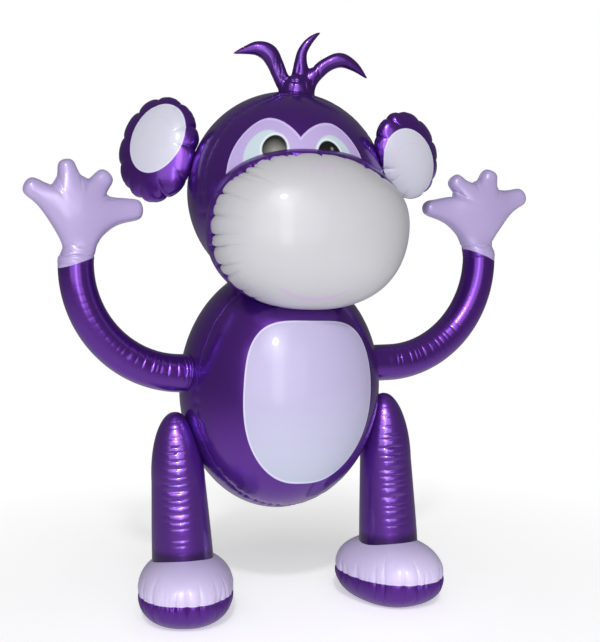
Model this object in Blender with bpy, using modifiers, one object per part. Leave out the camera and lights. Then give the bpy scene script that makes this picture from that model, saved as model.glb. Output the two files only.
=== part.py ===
# Inflatable monkey, a 24 inch toy of welded film, blown up and standing on its feet
# Metres, +Z up. The figure faces -Y, and its own right side is at -X.
import bpy
import bmesh
from math import atan, cos, pi, radians, sin, sqrt
from mathutils import Matrix, Vector

# Clear space left between two pieces that are welded together
WELD_GAP = 0.0003

# Torso, an egg that stands clear of the floor
TORSO_WIDTH = 0.2135
TORSO_DEPTH = 0.200
TORSO_HEIGHT = 0.258
TORSO_BOTTOM = 0.110
TORSO_TURN = radians(5.0)
HIP_SWAY = 0.0085

# Head, a ball welded to the torso along a flat round neck, set back from the torso front and back
HEAD_WIDTH = 0.210
HEAD_SETBACK = 0.001
HEAD_HEIGHT = 0.210
NECK_WIDTH = 0.104

# Muzzle, a rounded pad over the lower front of the head, set in from each side of it
MUZZLE_INSET = 0.001
MUZZLE_DEPTH = 0.152
MUZZLE_HEIGHT = 0.162
MUZZLE_FORWARD = 0.069
MUZZLE_DROP = 0.0375
MUZZLE_SIDE = 0.002
MUZZLE_SQUARENESS = 2.25

# Ears, round pillows with a gathered rim; each has its own size, place, turn, tilt and lean
EAR_WIDTH = 0.087
EAR_HEIGHT = 0.115
EAR_THICKNESS = 0.042
EAR_SCALE = {"right": 1.0, "left": 0.86}
EAR_GATHERS = 11
EAR_RINGS = 8
EAR_GATHER_DEPTH = 0.0022
EAR_OVERHANG = {"right": 0.0247, "left": 0.0140}
EAR_BACK = {"right": 0.040, "left": -0.035}
EAR_RISE = {"right": 0.038, "left": 0.043}
EAR_TURN = {"right": radians(-38.0), "left": radians(18.0)}
EAR_TILT = {"right": radians(12.0), "left": radians(-6.0)}
EAR_LEAN = {"right": radians(3.0), "left": radians(38.0)}

# Tuft of hair: three locks on one short neck, as (sideways, up, half width) from the head's top
TUFT_TURN = radians(-8.0)
TUFT_FLATNESS = 0.8
TUFT_NECK = ((0.0095, -0.014, 0.0205), (0.0095, 0.004, 0.0190), (0.0105, 0.018, 0.0150))
RIGHT_LOCK = ((0.0060, 0.008, 0.0130), (-0.0075, 0.0245, 0.0115), (-0.0165, 0.0360, 0.0112),
              (-0.0280, 0.0425, 0.0090), (-0.0420, 0.0430, 0.0050), (-0.0550, 0.0390, 0.0012))
MIDDLE_LOCK = ((0.0110, 0.008, 0.0110), (0.0134, 0.0280, 0.0068), (0.0155, 0.0390, 0.0056),
               (0.0225, 0.0505, 0.0043), (0.0299, 0.0570, 0.0028), (0.0353, 0.0605, 0.0010))
LEFT_LOCK = ((0.0130, 0.006, 0.0130), (0.0290, 0.0180, 0.0105), (0.0420, 0.0300, 0.0086),
             (0.0560, 0.0350, 0.0080), (0.0690, 0.0310, 0.0068), (0.0865, 0.0155, 0.0012))
LOCK_STEPS = 2

# Arms, tubes that leave the torso level and curve up through a quarter circle; each starts
# inside the torso, at this share of its half width, and is trimmed by it
ARM_DIAMETER = 0.0395
WRIST_DIAMETER = 0.0355
ARM_HEIGHT = {"right": 0.1475, "left": 0.1485}
ARM_REACH = {"right": 0.2265, "left": 0.2345}
ARM_BEND = 0.113
ARM_LIFT = 0.001
ARM_ROOT = 0.7
ARM_STEPS = 14

# Hands, flat pillows with three fingers and a thumb that points to the head. Each digit is its
# angle from outward, its length from the palm's middle and its half width; the shares set how
# the coarse cage's edge, crown, fingertips and cuff stand, so that it has these sizes once rounded
PALM_RISE = 0.0500
PALM_THICKNESS = 0.034
FINGER_THICKNESS = 0.021
DIGITS = (
    (radians(25.0), 0.0585, 0.0118),
    (radians(77.0), 0.0550, 0.0113),
    (radians(128.0), 0.0510, 0.0113),
    (radians(174.0), 0.0690, 0.0116),
)
DIGIT_ROOT = 0.0320
DIGIT_ROOT_SPREAD = radians(15.5)
FINGERTIP_ROUND = 0.012
FINGERTIP_SHARE = 0.86
PALM_SIDE = 0.0310
PALM_HEEL = (radians(236.0), radians(304.0))
PALM_EDGE_SHARE = 0.36
PALM_CROWN_SHARE = 0.62
WRIST_CUFF = 0.012
WRIST_SHARE = 1.06

# Legs, tapered tubes with a rounded top, welded to the sides of the torso
ANKLE_DIAMETER = 0.0640
THIGH_DIAMETER = 0.0555
LEG_NOSE = 0.072
LEG_NOSE_STEPS = 6
LEG_TOP = {"right": 0.1075, "left": 0.1175}
LEG_WELD_HEIGHT = 0.078
LEG_PRESS = 0.010
LEG_FORWARD = 0.007
ANKLE_FORWARD = 0.005
ANKLE_SPREAD = 0.1155

# Feet, plump pads turned out at the toes; a level seam parts the sole from the upper
FOOT_LENGTH = 0.138
FOOT_WIDTH = 0.100
FOOT_SEAM_HEIGHT = 0.032
FOOT_INSTEP = 0.038
SOLE_BULGE = 0.036
TOE_REACH = 0.004
FOOT_INSET = 0.0015
TOE_OUT = {"right": radians(-16.0), "left": radians(15.0)}
FOOT_SQUARENESS = 2.3

# Inflation valve on the back, turned about its own axis: (radius, height) down its outside
VALVE_HEIGHT = 0.080
VALVE_PROFILE = (
    (0.0, 0.0075), (0.0060, 0.0075), (0.0068, 0.0066), (0.0068, 0.0036), (0.0050, 0.0036),
    (0.0050, 0.0012), (0.0110, 0.0008), (0.0118, 0.0), (0.0118, -0.0060), (0.0, -0.0060),
)

# How finely the round bodies are divided: around, and from pole to pole
BODY_DIVISIONS = (32, 18)
MUZZLE_DIVISIONS = (32, 16)
FOOT_DIVISIONS = (28, 14)
TURN_STEPS = 20

SIDES = (("right", -1), ("left", 1))

# Sizes that follow from the values above
HEAD_DEPTH = TORSO_DEPTH - 2 * HEAD_SETBACK
MUZZLE_WIDTH = HEAD_WIDTH - 2 * MUZZLE_INSET
TORSO_MIDDLE = TORSO_BOTTOM + TORSO_HEIGHT / 2
NECK_HEIGHT = TORSO_MIDDLE + TORSO_HEIGHT / 2 * sqrt(1 - (NECK_WIDTH / TORSO_WIDTH) ** 2)
HEAD_MIDDLE = NECK_HEIGHT + HEAD_HEIGHT / 2 * sqrt(1 - (NECK_WIDTH / HEAD_WIDTH) ** 2)
SPINE = HEAD_MIDDLE - TORSO_MIDDLE
SPINE_LEAN = atan(HIP_SWAY / SPINE)

# Each film's colour, roughness and how metallic it is
PURPLE = ((0.075, 0.016, 0.190), 0.28, 0.45)
LAVENDER = ((0.480, 0.370, 0.720), 0.35, 0.0)
PALE_LAVENDER = ((0.640, 0.560, 0.800), 0.35, 0.0)
PEARL = ((0.660, 0.640, 0.720), 0.30, 0.0)
CLEAR_VINYL = ((0.750, 0.760, 0.800), 0.25, 0.0)


def clear_scene():
    """Empty the file, so that only the monkey is in it."""
    for old in list(bpy.data.objects):
        bpy.data.objects.remove(old, do_unlink=True)


def new_collection(name):
    collection = bpy.data.collections.new(name)
    bpy.context.scene.collection.children.link(collection)
    return collection


def new_material(name, look):
    colour, roughness, metallic = look
    material = bpy.data.materials.new(name)
    material.use_nodes = True
    shader = material.node_tree.nodes["Principled BSDF"]
    shader.inputs["Base Color"].default_value = (*colour, 1.0)
    shader.inputs["Roughness"].default_value = roughness
    shader.inputs["Metallic"].default_value = metallic
    return material


def put(name, bm, collection, matrix=Matrix.Identity(4)):
    """Turn a bmesh into a smooth-shaded object of the collection, standing at the matrix."""
    mesh = bpy.data.meshes.new(name)
    bm.to_mesh(mesh)
    bm.free()
    mesh.shade_smooth()
    mesh.set_sharp_from_angle(angle=radians(50.0))
    thing = bpy.data.objects.new(name, mesh)
    thing.matrix_world = matrix
    collection.objects.link(thing)
    return thing


def boolean(thing, other, operation):
    step = thing.modifiers.new(f"{operation.lower()} {other.name}", "BOOLEAN")
    step.operation = operation
    step.solver = "EXACT"
    step.object = other


def place(position, turn=0.0, tilt=0.0):
    """A place in the figure: turned about the upright axis, after a tilt that lifts the face."""
    return Matrix.Translation(position) @ Matrix.Rotation(turn, 4, "Z") @ Matrix.Rotation(-tilt, 4, "X")


def ball(half_sizes, divisions, squareness=2.0):
    """A closed ball of these half sizes; a squareness above 2 fills out its corners."""
    bm = bmesh.new()
    around, along = divisions
    bmesh.ops.create_uvsphere(bm, u_segments=around, v_segments=along, radius=1.0)
    for vert in bm.verts:
        reach = sum(abs(c) ** squareness for c in vert.co) ** (1.0 / squareness)
        vert.co = Vector(c / reach * half for c, half in zip(vert.co, half_sizes))
    return bm


def keep_below(bm, height):
    """Cut the body off flat at this height and close it."""
    cut_flat(bm, height, 1.0)


def keep_above(bm, height):
    cut_flat(bm, height, -1.0)


def cut_flat(bm, height, side):
    everything = bm.verts[:] + bm.edges[:] + bm.faces[:]
    bmesh.ops.bisect_plane(bm, geom=everything, dist=1e-6, plane_co=(0.0, 0.0, height),
                           plane_no=(0.0, 0.0, side), clear_outer=True)
    rim = [edge for edge in bm.edges if edge.is_boundary]
    bmesh.ops.holes_fill(bm, edges=rim, sides=0)
    bmesh.ops.recalc_face_normals(bm, faces=bm.faces[:])


def torso_half_width(above_bottom):
    """Half the torso's width at a height above its lowest point."""
    off_middle = (above_bottom - TORSO_HEIGHT / 2) / (TORSO_HEIGHT / 2)
    return TORSO_WIDTH / 2 * sqrt(1 - off_middle ** 2)


def torso_ball(margin=0.0):
    halves = (TORSO_WIDTH / 2 + margin, TORSO_DEPTH / 2 + margin, TORSO_HEIGHT / 2 + margin)
    return ball(halves, BODY_DIVISIONS)


def head_ball(margin=0.0):
    halves = (HEAD_WIDTH / 2 + margin, HEAD_DEPTH / 2 + margin, HEAD_HEIGHT / 2 + margin)
    return ball(halves, BODY_DIVISIONS)


def head_place():
    """The head's middle, leaning to the left with the spine."""
    return Matrix.Translation((0.0, 0.0, HEAD_MIDDLE)) @ Matrix.Rotation(SPINE_LEAN, 4, "Y")


def torso_place():
    """The torso's middle, down the same spine, with the hips swayed to the right."""
    return head_place() @ place((0.0, 0.0, -SPINE), TORSO_TURN)


def muzzle_place():
    """The muzzle's middle, with its Z axis forward."""
    middle = (MUZZLE_SIDE, -MUZZLE_FORWARD, -MUZZLE_DROP)
    return head_place() @ Matrix.Translation(middle) @ Matrix.Rotation(pi / 2, 4, "X")


def muzzle_ball(margin=0.0):
    halves = (MUZZLE_WIDTH / 2 + margin, MUZZLE_HEIGHT / 2 + margin, MUZZLE_DEPTH / 2 + margin)
    return ball(halves, MUZZLE_DIVISIONS, MUZZLE_SQUARENESS)


def make_torso(collection):
    bm = torso_ball()
    keep_below(bm, NECK_HEIGHT - TORSO_MIDDLE - WELD_GAP / 2)
    return put("torso", bm, collection, torso_place())


def make_head(collection):
    bm = head_ball()
    keep_above(bm, NECK_HEIGHT - HEAD_MIDDLE + WELD_GAP / 2)
    return put("head", bm, collection, head_place())


def make_muzzle(collection, cutters):
    """The muzzle is a whole ball with its poles fore and aft, less the head and the torso."""
    muzzle = put("muzzle", muzzle_ball(), collection, muzzle_place())
    boolean(muzzle, cutters["head"], "DIFFERENCE")
    boolean(muzzle, cutters["torso"], "DIFFERENCE")
    return muzzle


def make_ear(collection, cutters, side_name, side):
    """A round pillow whose rim is drawn in at every gather of its seam."""
    bm = ball((EAR_WIDTH / 2, EAR_HEIGHT / 2, EAR_THICKNESS / 2), (3 * EAR_GATHERS, EAR_RINGS))
    for vert in bm.verts:
        flat = Vector((2 * vert.co.x / EAR_WIDTH, 2 * vert.co.y / EAR_HEIGHT))
        if flat.length > 0.0:
            rim = flat.length ** 4
            wave = cos(EAR_GATHERS * flat.angle_signed(Vector((1.0, 0.0))))
            grow = 1 - EAR_GATHER_DEPTH * rim * (1 - wave) / EAR_WIDTH
            vert.co.x *= grow
            vert.co.y *= grow
        vert.co *= EAR_SCALE[side_name]
    reach = side * (HEAD_WIDTH / 2 + EAR_OVERHANG[side_name])
    middle = (reach, EAR_BACK[side_name], EAR_RISE[side_name])
    pose = place(middle, EAR_TURN[side_name], EAR_TILT[side_name])
    lean = Matrix.Rotation(-side * EAR_LEAN[side_name], 4, "Y")
    upright = Matrix.Rotation(pi / 2, 4, "X")
    ear = put(f"{side_name}_ear", bm, collection, head_place() @ pose @ lean @ upright)
    boolean(ear, cutters["head"], "DIFFERENCE")
    boolean(ear, cutters["muzzle"], "DIFFERENCE")
    return ear


def smooth_path(stations, steps):
    """Points on a smooth curve through the stations, whose last number is a half width."""
    points = [Vector(s) for s in stations]
    points = [2 * points[0] - points[1]] + points + [2 * points[-1] - points[-2]]
    path = []
    for a, b, c, d in zip(points, points[1:], points[2:], points[3:]):
        for step in range(steps):
            t = step / steps
            path.append(0.5 * (2 * b + (c - a) * t + (2 * a - 5 * b + 4 * c - d) * t ** 2
                               + (3 * b - a - 3 * c + d) * t ** 3))
    path.append(points[-2])
    return path


def tube(name, path, sides_level, collection):
    """A tube with closed ends along (x, y, z, half width), made a mesh with its caps welded on."""
    curve = bpy.data.curves.new(name, "CURVE")
    curve.dimensions = "3D"
    curve.bevel_depth = 1.0
    curve.bevel_resolution = sides_level
    curve.use_fill_caps = True
    spline = curve.splines.new("POLY")
    spline.points.add(len(path) - 1)
    for point, (x, y, z, radius) in zip(spline.points, path):
        point.co = (x, y, z, 1.0)
        point.radius = radius
    drawn = bpy.data.objects.new(name, curve)
    collection.objects.link(drawn)
    graph = bpy.context.evaluated_depsgraph_get()
    mesh = bpy.data.meshes.new_from_object(drawn.evaluated_get(graph))
    bpy.data.objects.remove(drawn, do_unlink=True)
    bm = bmesh.new()
    bm.from_mesh(mesh)
    bpy.data.meshes.remove(mesh)
    bmesh.ops.remove_doubles(bm, verts=bm.verts[:], dist=1e-5)
    bmesh.ops.recalc_face_normals(bm, faces=bm.faces[:])
    return bm


def make_tuft(collection, cutter_collection, cutters):
    """Three flattened, pointed locks that grow out of one short neck."""
    stand = place((0.0, 0.0, HEAD_MIDDLE + HEAD_HEIGHT / 2), TUFT_TURN)
    bodies = []
    for index, stations in enumerate((TUFT_NECK, RIGHT_LOCK, MIDDLE_LOCK, LEFT_LOCK)):
        path = [(x, 0.0, z, width) for x, z, width in smooth_path(stations, LOCK_STEPS)]
        bm = tube("lock", path, 2, cutter_collection)
        bmesh.ops.scale(bm, vec=(1.0, TUFT_FLATNESS, 1.0), verts=bm.verts[:])
        home = cutter_collection if index else collection
        name = f"lock_{index}_guide" if index else "hair_tuft"
        bodies.append(put(name, bm, home, stand))
    tuft = bodies[0]
    for lock in bodies[1:]:
        boolean(tuft, lock, "UNION")
    boolean(tuft, cutters["head"], "DIFFERENCE")
    return tuft


def wrist_place(side_name, side):
    """The end of the arm, turned with the torso."""
    height = TORSO_BOTTOM + ARM_HEIGHT[side_name] + ARM_BEND + ARM_LIFT
    wrist = Matrix.Translation((side * ARM_REACH[side_name], 0.0, height))
    return Matrix.Rotation(TORSO_TURN, 4, "Z") @ wrist


def make_arm(collection, cutters, side_name, side):
    """Level out of the torso, then up through a quarter circle, thinning to the wrist."""
    shoulder = torso_half_width(ARM_HEIGHT[side_name])
    level = TORSO_BOTTOM + ARM_HEIGHT[side_name]
    elbow = ARM_REACH[side_name] - ARM_BEND
    path = [(side * shoulder * ARM_ROOT, 0.0, level, ARM_DIAMETER / 2)]
    for step in range(ARM_STEPS + 1):
        share = step / ARM_STEPS
        angle = share * pi / 2
        x = side * (elbow + ARM_BEND * sin(angle))
        z = level + ARM_BEND * (1 - cos(angle))
        path.append((x, 0.0, z, (ARM_DIAMETER + (WRIST_DIAMETER - ARM_DIAMETER) * share) / 2))
    top = level + ARM_BEND + ARM_LIFT - WELD_GAP
    path.append((path[-1][0], 0.0, top, WRIST_DIAMETER / 2))
    bm = tube(f"{side_name}_arm", path, 2, collection)
    arm = put(f"{side_name}_arm", bm, collection, Matrix.Rotation(TORSO_TURN, 4, "Z"))
    boolean(arm, cutters["torso"], "DIFFERENCE")
    return arm


def hand_cage(side):
    """A coarse closed cage of a hand: a flat palm whose side faces are drawn out to digits.

    It lies in XZ with the wrist's cut face at its origin; outwards is towards side.
    """
    bm = bmesh.new()
    corners = []
    for angle, _, _ in DIGITS:
        corners += [(angle - DIGIT_ROOT_SPREAD, DIGIT_ROOT), (angle + DIGIT_ROOT_SPREAD, DIGIT_ROOT)]
    corners += [(angle, PALM_SIDE) for angle in PALM_HEEL]
    edge = PALM_EDGE_SHARE * PALM_THICKNESS
    crown = PALM_CROWN_SHARE * PALM_THICKNESS
    middle = Vector((0.0, 0.0, PALM_RISE))

    def at(angle, radius, thickness):
        return middle + Vector((side * radius * cos(angle), thickness, radius * sin(angle)))

    front = [bm.verts.new(at(a, r, -edge)) for a, r in corners]
    back = [bm.verts.new(at(a, r, edge)) for a, r in corners]
    front_middle = bm.verts.new(middle + Vector((0.0, -crown, 0.0)))
    back_middle = bm.verts.new(middle + Vector((0.0, crown, 0.0)))
    count = len(corners)
    sides = []
    for i in range(count):
        j = (i + 1) % count
        bm.faces.new((front_middle, front[i], front[j]))
        bm.faces.new((back_middle, back[j], back[i]))
        sides.append(bm.faces.new((front[i], back[i], back[j], front[j])))
    for index, (angle, length, half) in enumerate(DIGITS):
        along = Vector((side * cos(angle), 0.0, sin(angle)))
        across = Vector((-side * sin(angle), 0.0, cos(angle)))
        face = sides[2 * index]
        for reach, share in ((length - FINGERTIP_ROUND, 1.0), (length, FINGERTIP_SHARE)):
            face = draw_out(bm, face, middle + reach * along, across * half * share,
                            Vector((0.0, FINGER_THICKNESS / 2 * share, 0.0)))
    wrist = sides[count - 2]
    cuff = WRIST_SHARE * WRIST_DIAMETER / 2
    wide = Vector((side * cuff, 0.0, 0.0))
    thick = Vector((0.0, cuff, 0.0))
    for height in (WRIST_CUFF, 0.0):
        wrist = draw_out(bm, wrist, Vector((0.0, 0.0, height)), wide, thick)
    crease = bm.edges.layers.float.new("crease_edge")
    for edge in wrist.edges:
        edge[crease] = 1.0
    bmesh.ops.recalc_face_normals(bm, faces=bm.faces[:])
    return bm


def draw_out(bm, face, middle, wide, thick):
    """Extrude one side face and set its new corners about a middle; returns the new end face."""
    made = bmesh.ops.extrude_discrete_faces(bm, faces=[face])["faces"][0]
    old_middle = made.calc_center_median()
    for vert in made.verts:
        off = vert.co - old_middle
        across = 1.0 if off.dot(wide) > 0.0 else -1.0
        deep = 1.0 if off.dot(thick) > 0.0 else -1.0
        vert.co = middle + across * wide + deep * thick
    return made


def make_hand(collection, side_name, side):
    hand = put(f"{side_name}_hand", hand_cage(side), collection, wrist_place(side_name, side))
    soften = hand.modifiers.new("inflate", "SUBSURF")
    soften.levels = 1
    soften.render_levels = 1
    return hand


def leg_axis(side_name, side):
    """The leg's top, beside the swayed hips, and the middle of its ankle on the foot."""
    hip = torso_half_width(LEG_WELD_HEIGHT) + THIGH_DIAMETER / 2 - LEG_PRESS
    top = Vector((side * hip - HIP_SWAY, -LEG_FORWARD, TORSO_BOTTOM + LEG_TOP[side_name]))
    ankle = Vector((side * ANKLE_SPREAD, -ANKLE_FORWARD, FOOT_SEAM_HEIGHT + FOOT_INSTEP / 2))
    return top, ankle


def make_leg(collection, cutters, side_name, side):
    """A turned body, rounded at the top and widening down to the ankle."""
    top, ankle = leg_axis(side_name, side)
    length = (top - ankle).length
    profile = bmesh.new()
    corners = [(0.0, length)]
    for step in range(1, LEG_NOSE_STEPS + 1):
        angle = step / LEG_NOSE_STEPS * pi / 2
        corners.append((THIGH_DIAMETER / 2 * sin(angle), length - LEG_NOSE * (1 - cos(angle))))
    corners += [(ANKLE_DIAMETER / 2, 0.0), (0.0, 0.0)]
    verts = [profile.verts.new((radius, 0.0, height)) for radius, height in corners]
    for a, b in zip(verts, verts[1:]):
        profile.edges.new((a, b))
    direction = (top - ankle).to_track_quat("Z", "Y").to_matrix().to_4x4()
    leg = put(f"{side_name}_leg", profile, collection, Matrix.Translation(ankle) @ direction)
    turn = leg.modifiers.new("turn", "SCREW")
    turn.axis = "Z"
    turn.steps = TURN_STEPS
    turn.render_steps = TURN_STEPS
    turn.use_merge_vertices = True
    turn.merge_threshold = 0.0001
    turn.use_smooth_shade = True
    boolean(leg, cutters["torso"], "DIFFERENCE")
    boolean(leg, cutters[f"{side_name}_foot"], "DIFFERENCE")
    return leg


def foot_ball(margin=0.0):
    """The whole foot about its seam: a plump instep above and a fuller sole below."""
    halves = (FOOT_WIDTH / 2 + margin, FOOT_LENGTH / 2 + margin, 1.0)
    bm = ball(halves, FOOT_DIVISIONS, FOOT_SQUARENESS)
    for vert in bm.verts:
        vert.co.z *= (FOOT_INSTEP if vert.co.z > 0.0 else SOLE_BULGE) + margin
    return bm


def foot_place(side_name, side):
    ankle = leg_axis(side_name, side)[1]
    middle = (ankle.x - side * FOOT_INSET, ankle.y - TOE_REACH, FOOT_SEAM_HEIGHT)
    return Matrix.Translation(middle) @ Matrix.Rotation(TOE_OUT[side_name], 4, "Z")


def make_foot(collection, side_name, side):
    upper = foot_ball()
    keep_above(upper, WELD_GAP / 2)
    sole = foot_ball()
    keep_below(sole, -WELD_GAP / 2)
    keep_above(sole, -FOOT_SEAM_HEIGHT)
    stand = foot_place(side_name, side)
    return (put(f"{side_name}_foot", upper, collection, stand),
            put(f"{side_name}_sole", sole, collection, stand))


def make_valve(collection, cutters):
    """A stoppered stem with its flange welded to the back of the torso."""
    profile = bmesh.new()
    verts = [profile.verts.new((radius, 0.0, height)) for radius, height in VALVE_PROFILE]
    for a, b in zip(verts, verts[1:]):
        profile.edges.new((a, b))
    off_middle = (VALVE_HEIGHT - TORSO_HEIGHT / 2) / (TORSO_HEIGHT / 2)
    back = TORSO_DEPTH / 2 * sqrt(1 - off_middle ** 2)
    slope = Vector((0.0, back / (TORSO_DEPTH / 2) ** 2, off_middle / (TORSO_HEIGHT / 2)))
    outward = slope.to_track_quat("Z", "Y").to_matrix().to_4x4()
    on_back = Matrix.Translation((0.0, back, VALVE_HEIGHT - TORSO_HEIGHT / 2))
    stand = torso_place() @ on_back @ outward
    valve = put("inflation_valve", profile, collection, stand)
    turn = valve.modifiers.new("turn", "SCREW")
    turn.axis = "Z"
    turn.steps = TURN_STEPS
    turn.render_steps = TURN_STEPS
    turn.use_merge_vertices = True
    turn.merge_threshold = 0.0001
    boolean(valve, cutters["torso"], "DIFFERENCE")
    return valve


def make_cutters(collection):
    """Clearance bodies: each main ball grown by the gap, to trim what is welded to it."""
    cutters = {
        "torso": put("torso_clearance", torso_ball(WELD_GAP), collection, torso_place()),
        "head": put("head_clearance", head_ball(WELD_GAP), collection, head_place()),
        "muzzle": put("muzzle_clearance", muzzle_ball(WELD_GAP), collection, muzzle_place()),
    }
    for side_name, side in SIDES:
        cutters[f"{side_name}_foot"] = put(f"{side_name}_foot_clearance", foot_ball(WELD_GAP),
                                           collection, foot_place(side_name, side))
    return cutters


def stand_on_origin(parts, base):
    """Move the whole figure so that the origin is under the middle of its box."""
    graph = bpy.context.evaluated_depsgraph_get()
    corners = []
    for part in parts:
        seen = part.evaluated_get(graph)
        corners += [seen.matrix_world @ vert.co for vert in seen.data.vertices]
    low = Vector(min(corner[i] for corner in corners) for i in range(3))
    high = Vector(max(corner[i] for corner in corners) for i in range(3))
    base.location = (-(low.x + high.x) / 2, -(low.y + high.y) / 2, -low.z)


def main():
    clear_scene()
    monkey = new_collection("inflatable_monkey")
    guides = new_collection("cutters")
    cutters = make_cutters(guides)
    pieces = [
        (make_torso(monkey), PURPLE),
        (make_head(monkey), PURPLE),
        (make_muzzle(monkey, cutters), PEARL),
        (make_tuft(monkey, guides, cutters), PURPLE),
        (make_valve(monkey, cutters), CLEAR_VINYL),
    ]
    for side_name, side in SIDES:
        upper, sole = make_foot(monkey, side_name, side)
        pieces += [
            (make_ear(monkey, cutters, side_name, side), PURPLE),
            (make_arm(monkey, cutters, side_name, side), PURPLE),
            (make_hand(monkey, side_name, side), LAVENDER),
            (make_leg(monkey, cutters, side_name, side), PURPLE),
            (upper, PALE_LAVENDER),
            (sole, PURPLE),
        ]
    base = bpy.data.objects.new("figure", None)
    monkey.objects.link(base)
    for part, look in pieces:
        part.data.materials.append(new_material(f"{part.name} film", look))
        part.parent = base
    for guide in guides.objects:
        guide.parent = base
        guide.hide_render = True
        guide.display_type = "WIRE"
    bpy.context.view_layer.update()
    stand_on_origin([part for part, _ in pieces], base)


main()
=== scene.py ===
# Inflatable monkey: the blown-up film pieces, their prints and finishes, and the studio round them
from math import acos, atan, cos, pi, radians, sin, sqrt, tau

import bmesh
import bpy
import numpy as np
from bpy.props import FloatProperty, FloatVectorProperty, IntProperty, PointerProperty
from bpy.types import Operator, Panel, PropertyGroup
from mathutils import Matrix, Vector


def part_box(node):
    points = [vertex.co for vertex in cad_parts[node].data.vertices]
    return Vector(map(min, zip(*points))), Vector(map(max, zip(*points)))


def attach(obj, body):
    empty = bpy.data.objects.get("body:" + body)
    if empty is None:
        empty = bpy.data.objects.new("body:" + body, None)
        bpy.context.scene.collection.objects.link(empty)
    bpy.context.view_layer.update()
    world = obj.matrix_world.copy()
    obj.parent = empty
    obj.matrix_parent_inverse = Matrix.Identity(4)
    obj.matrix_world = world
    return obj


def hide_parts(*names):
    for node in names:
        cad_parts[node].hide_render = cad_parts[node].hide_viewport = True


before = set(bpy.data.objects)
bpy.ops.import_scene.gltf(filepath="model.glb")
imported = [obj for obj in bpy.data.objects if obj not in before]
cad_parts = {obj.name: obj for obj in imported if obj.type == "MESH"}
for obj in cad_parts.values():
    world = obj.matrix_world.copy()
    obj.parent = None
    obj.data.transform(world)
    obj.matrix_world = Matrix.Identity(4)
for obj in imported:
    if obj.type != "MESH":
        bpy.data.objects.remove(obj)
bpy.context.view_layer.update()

bl_info = {
    "name": "Inflatable Monkey",
    "version": (1, 0, 0),
    "blender": (4, 5, 0),
    "location": "3D View > Sidebar > Monkey",
    "description": "Blows up the welded film pieces of a toy monkey on its CAD frame and lights them",
    "category": "Object",
}

# Sizes of the CAD part, in metres; those of hands and tuft are trimmed to their finer film.
# The figure faces -Y; its own right side is at -X.
TORSO_WIDTH = 0.2135
TORSO_DEPTH = 0.200
TORSO_HEIGHT = 0.258
TORSO_BOTTOM = 0.110
TORSO_TURN = radians(5.0)
HIP_SWAY = 0.0085

HEAD_WIDTH = 0.210
HEAD_DEPTH = 0.198
HEAD_HEIGHT = 0.210
NECK_WIDTH = 0.104

MUZZLE_WIDTH = 0.208
MUZZLE_DEPTH = 0.152
MUZZLE_HEIGHT = 0.162
MUZZLE_FORWARD = 0.069
MUZZLE_DROP = 0.0375
MUZZLE_SIDE = 0.002
MUZZLE_SQUARENESS = 2.25

EAR_WIDTH = 0.087
EAR_HEIGHT = 0.115
EAR_THICKNESS = 0.042
EAR_GATHERS = 11
EAR_SCALE = {"right": 1.0, "left": 0.86}
EAR_OVERHANG = {"right": 0.0247, "left": 0.0140}
EAR_BACK = {"right": 0.040, "left": -0.035}
EAR_RISE = {"right": 0.038, "left": 0.043}
EAR_TURN = {"right": radians(-38.0), "left": radians(18.0)}
EAR_TILT = {"right": radians(12.0), "left": radians(-6.0)}
EAR_LEAN = {"right": radians(3.0), "left": radians(38.0)}

TUFT_TURN = radians(-8.0)
TUFT_FLATNESS = 0.8
TUFT_LOCKS = (
    ((0.0103, -0.014, 0.0205), (0.0103, 0.0014, 0.0178), (0.0103, 0.0096, 0.0165), (0.0103, 0.0165, 0.0115)),
    ((0.0010, -0.0100, 0.0105), (0.0010, 0.0001, 0.0100), (-0.0036, 0.0101, 0.0091),
     (-0.0085, 0.0200, 0.0087), (-0.0125, 0.0290, 0.0090), (-0.0193, 0.0397, 0.0098),
     (-0.0306, 0.0440, 0.0080), (-0.0431, 0.0421, 0.0047), (-0.0570, 0.0382, 0.0010)),
    ((0.0136, 0.0100, 0.0110), (0.0145, 0.0224, 0.0092), (0.0148, 0.0316, 0.0070), (0.0166, 0.0417, 0.0055),
     (0.0226, 0.0513, 0.0045), (0.0298, 0.0581, 0.0029), (0.0360, 0.0622, 0.0010)),
    ((0.0199, -0.0100, 0.0105), (0.0199, 0.0007, 0.0100), (0.0234, 0.0109, 0.0094), (0.0315, 0.0199, 0.0083),
     (0.0436, 0.0293, 0.0077), (0.0577, 0.0338, 0.0080), (0.0725, 0.0273, 0.0055), (0.0862, 0.0150, 0.0011)),
)

ARM_DIAMETER = 0.0395
WRIST_DIAMETER = 0.0355
ARM_HEIGHT = {"right": 0.1475, "left": 0.1485}
ARM_REACH = {"right": 0.2265, "left": 0.2345}
ARM_BEND = 0.113
ARM_LIFT = 0.001
ARM_SLACK = {"right": 1.0, "left": 0.55}

PALM_RISE = 0.0498
PALM_THICKNESS = 0.034
FINGER_THICKNESS = 0.021
DIGITS = {
    "right": ((radians(30.5), 0.0580, 0.0109, 0.0361), (radians(80.2), 0.0543, 0.0100, 0.0397),
              (radians(130.6), 0.0536, 0.0108, 0.0368), (radians(176.9), 0.0699, 0.0119, 0.0428)),
    "left": ((radians(18.5), 0.0631, 0.0114, 0.0390), (radians(73.4), 0.0504, 0.0114, 0.0366),
             (radians(132.1), 0.0536, 0.0105, 0.0368), (radians(175.8), 0.0721, 0.0097, 0.0438)),
}
DIGIT_ROOT_SPREAD = {"right": radians(19.6), "left": radians(21.9)}
FINGERTIP_ROUND = 0.012
FINGERTIP_SHARE = 0.86
PALM_SIDE = {"right": 0.0352, "left": 0.0375}
PALM_HEEL = {"right": (radians(226.0), radians(286.0)), "left": (radians(221.0), radians(291.6))}
PALM_EDGE_SHARE = 0.36
PALM_CROWN_SHARE = 0.62
WEB_REACH = 0.037
WRIST_CUFF = 0.0085
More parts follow.
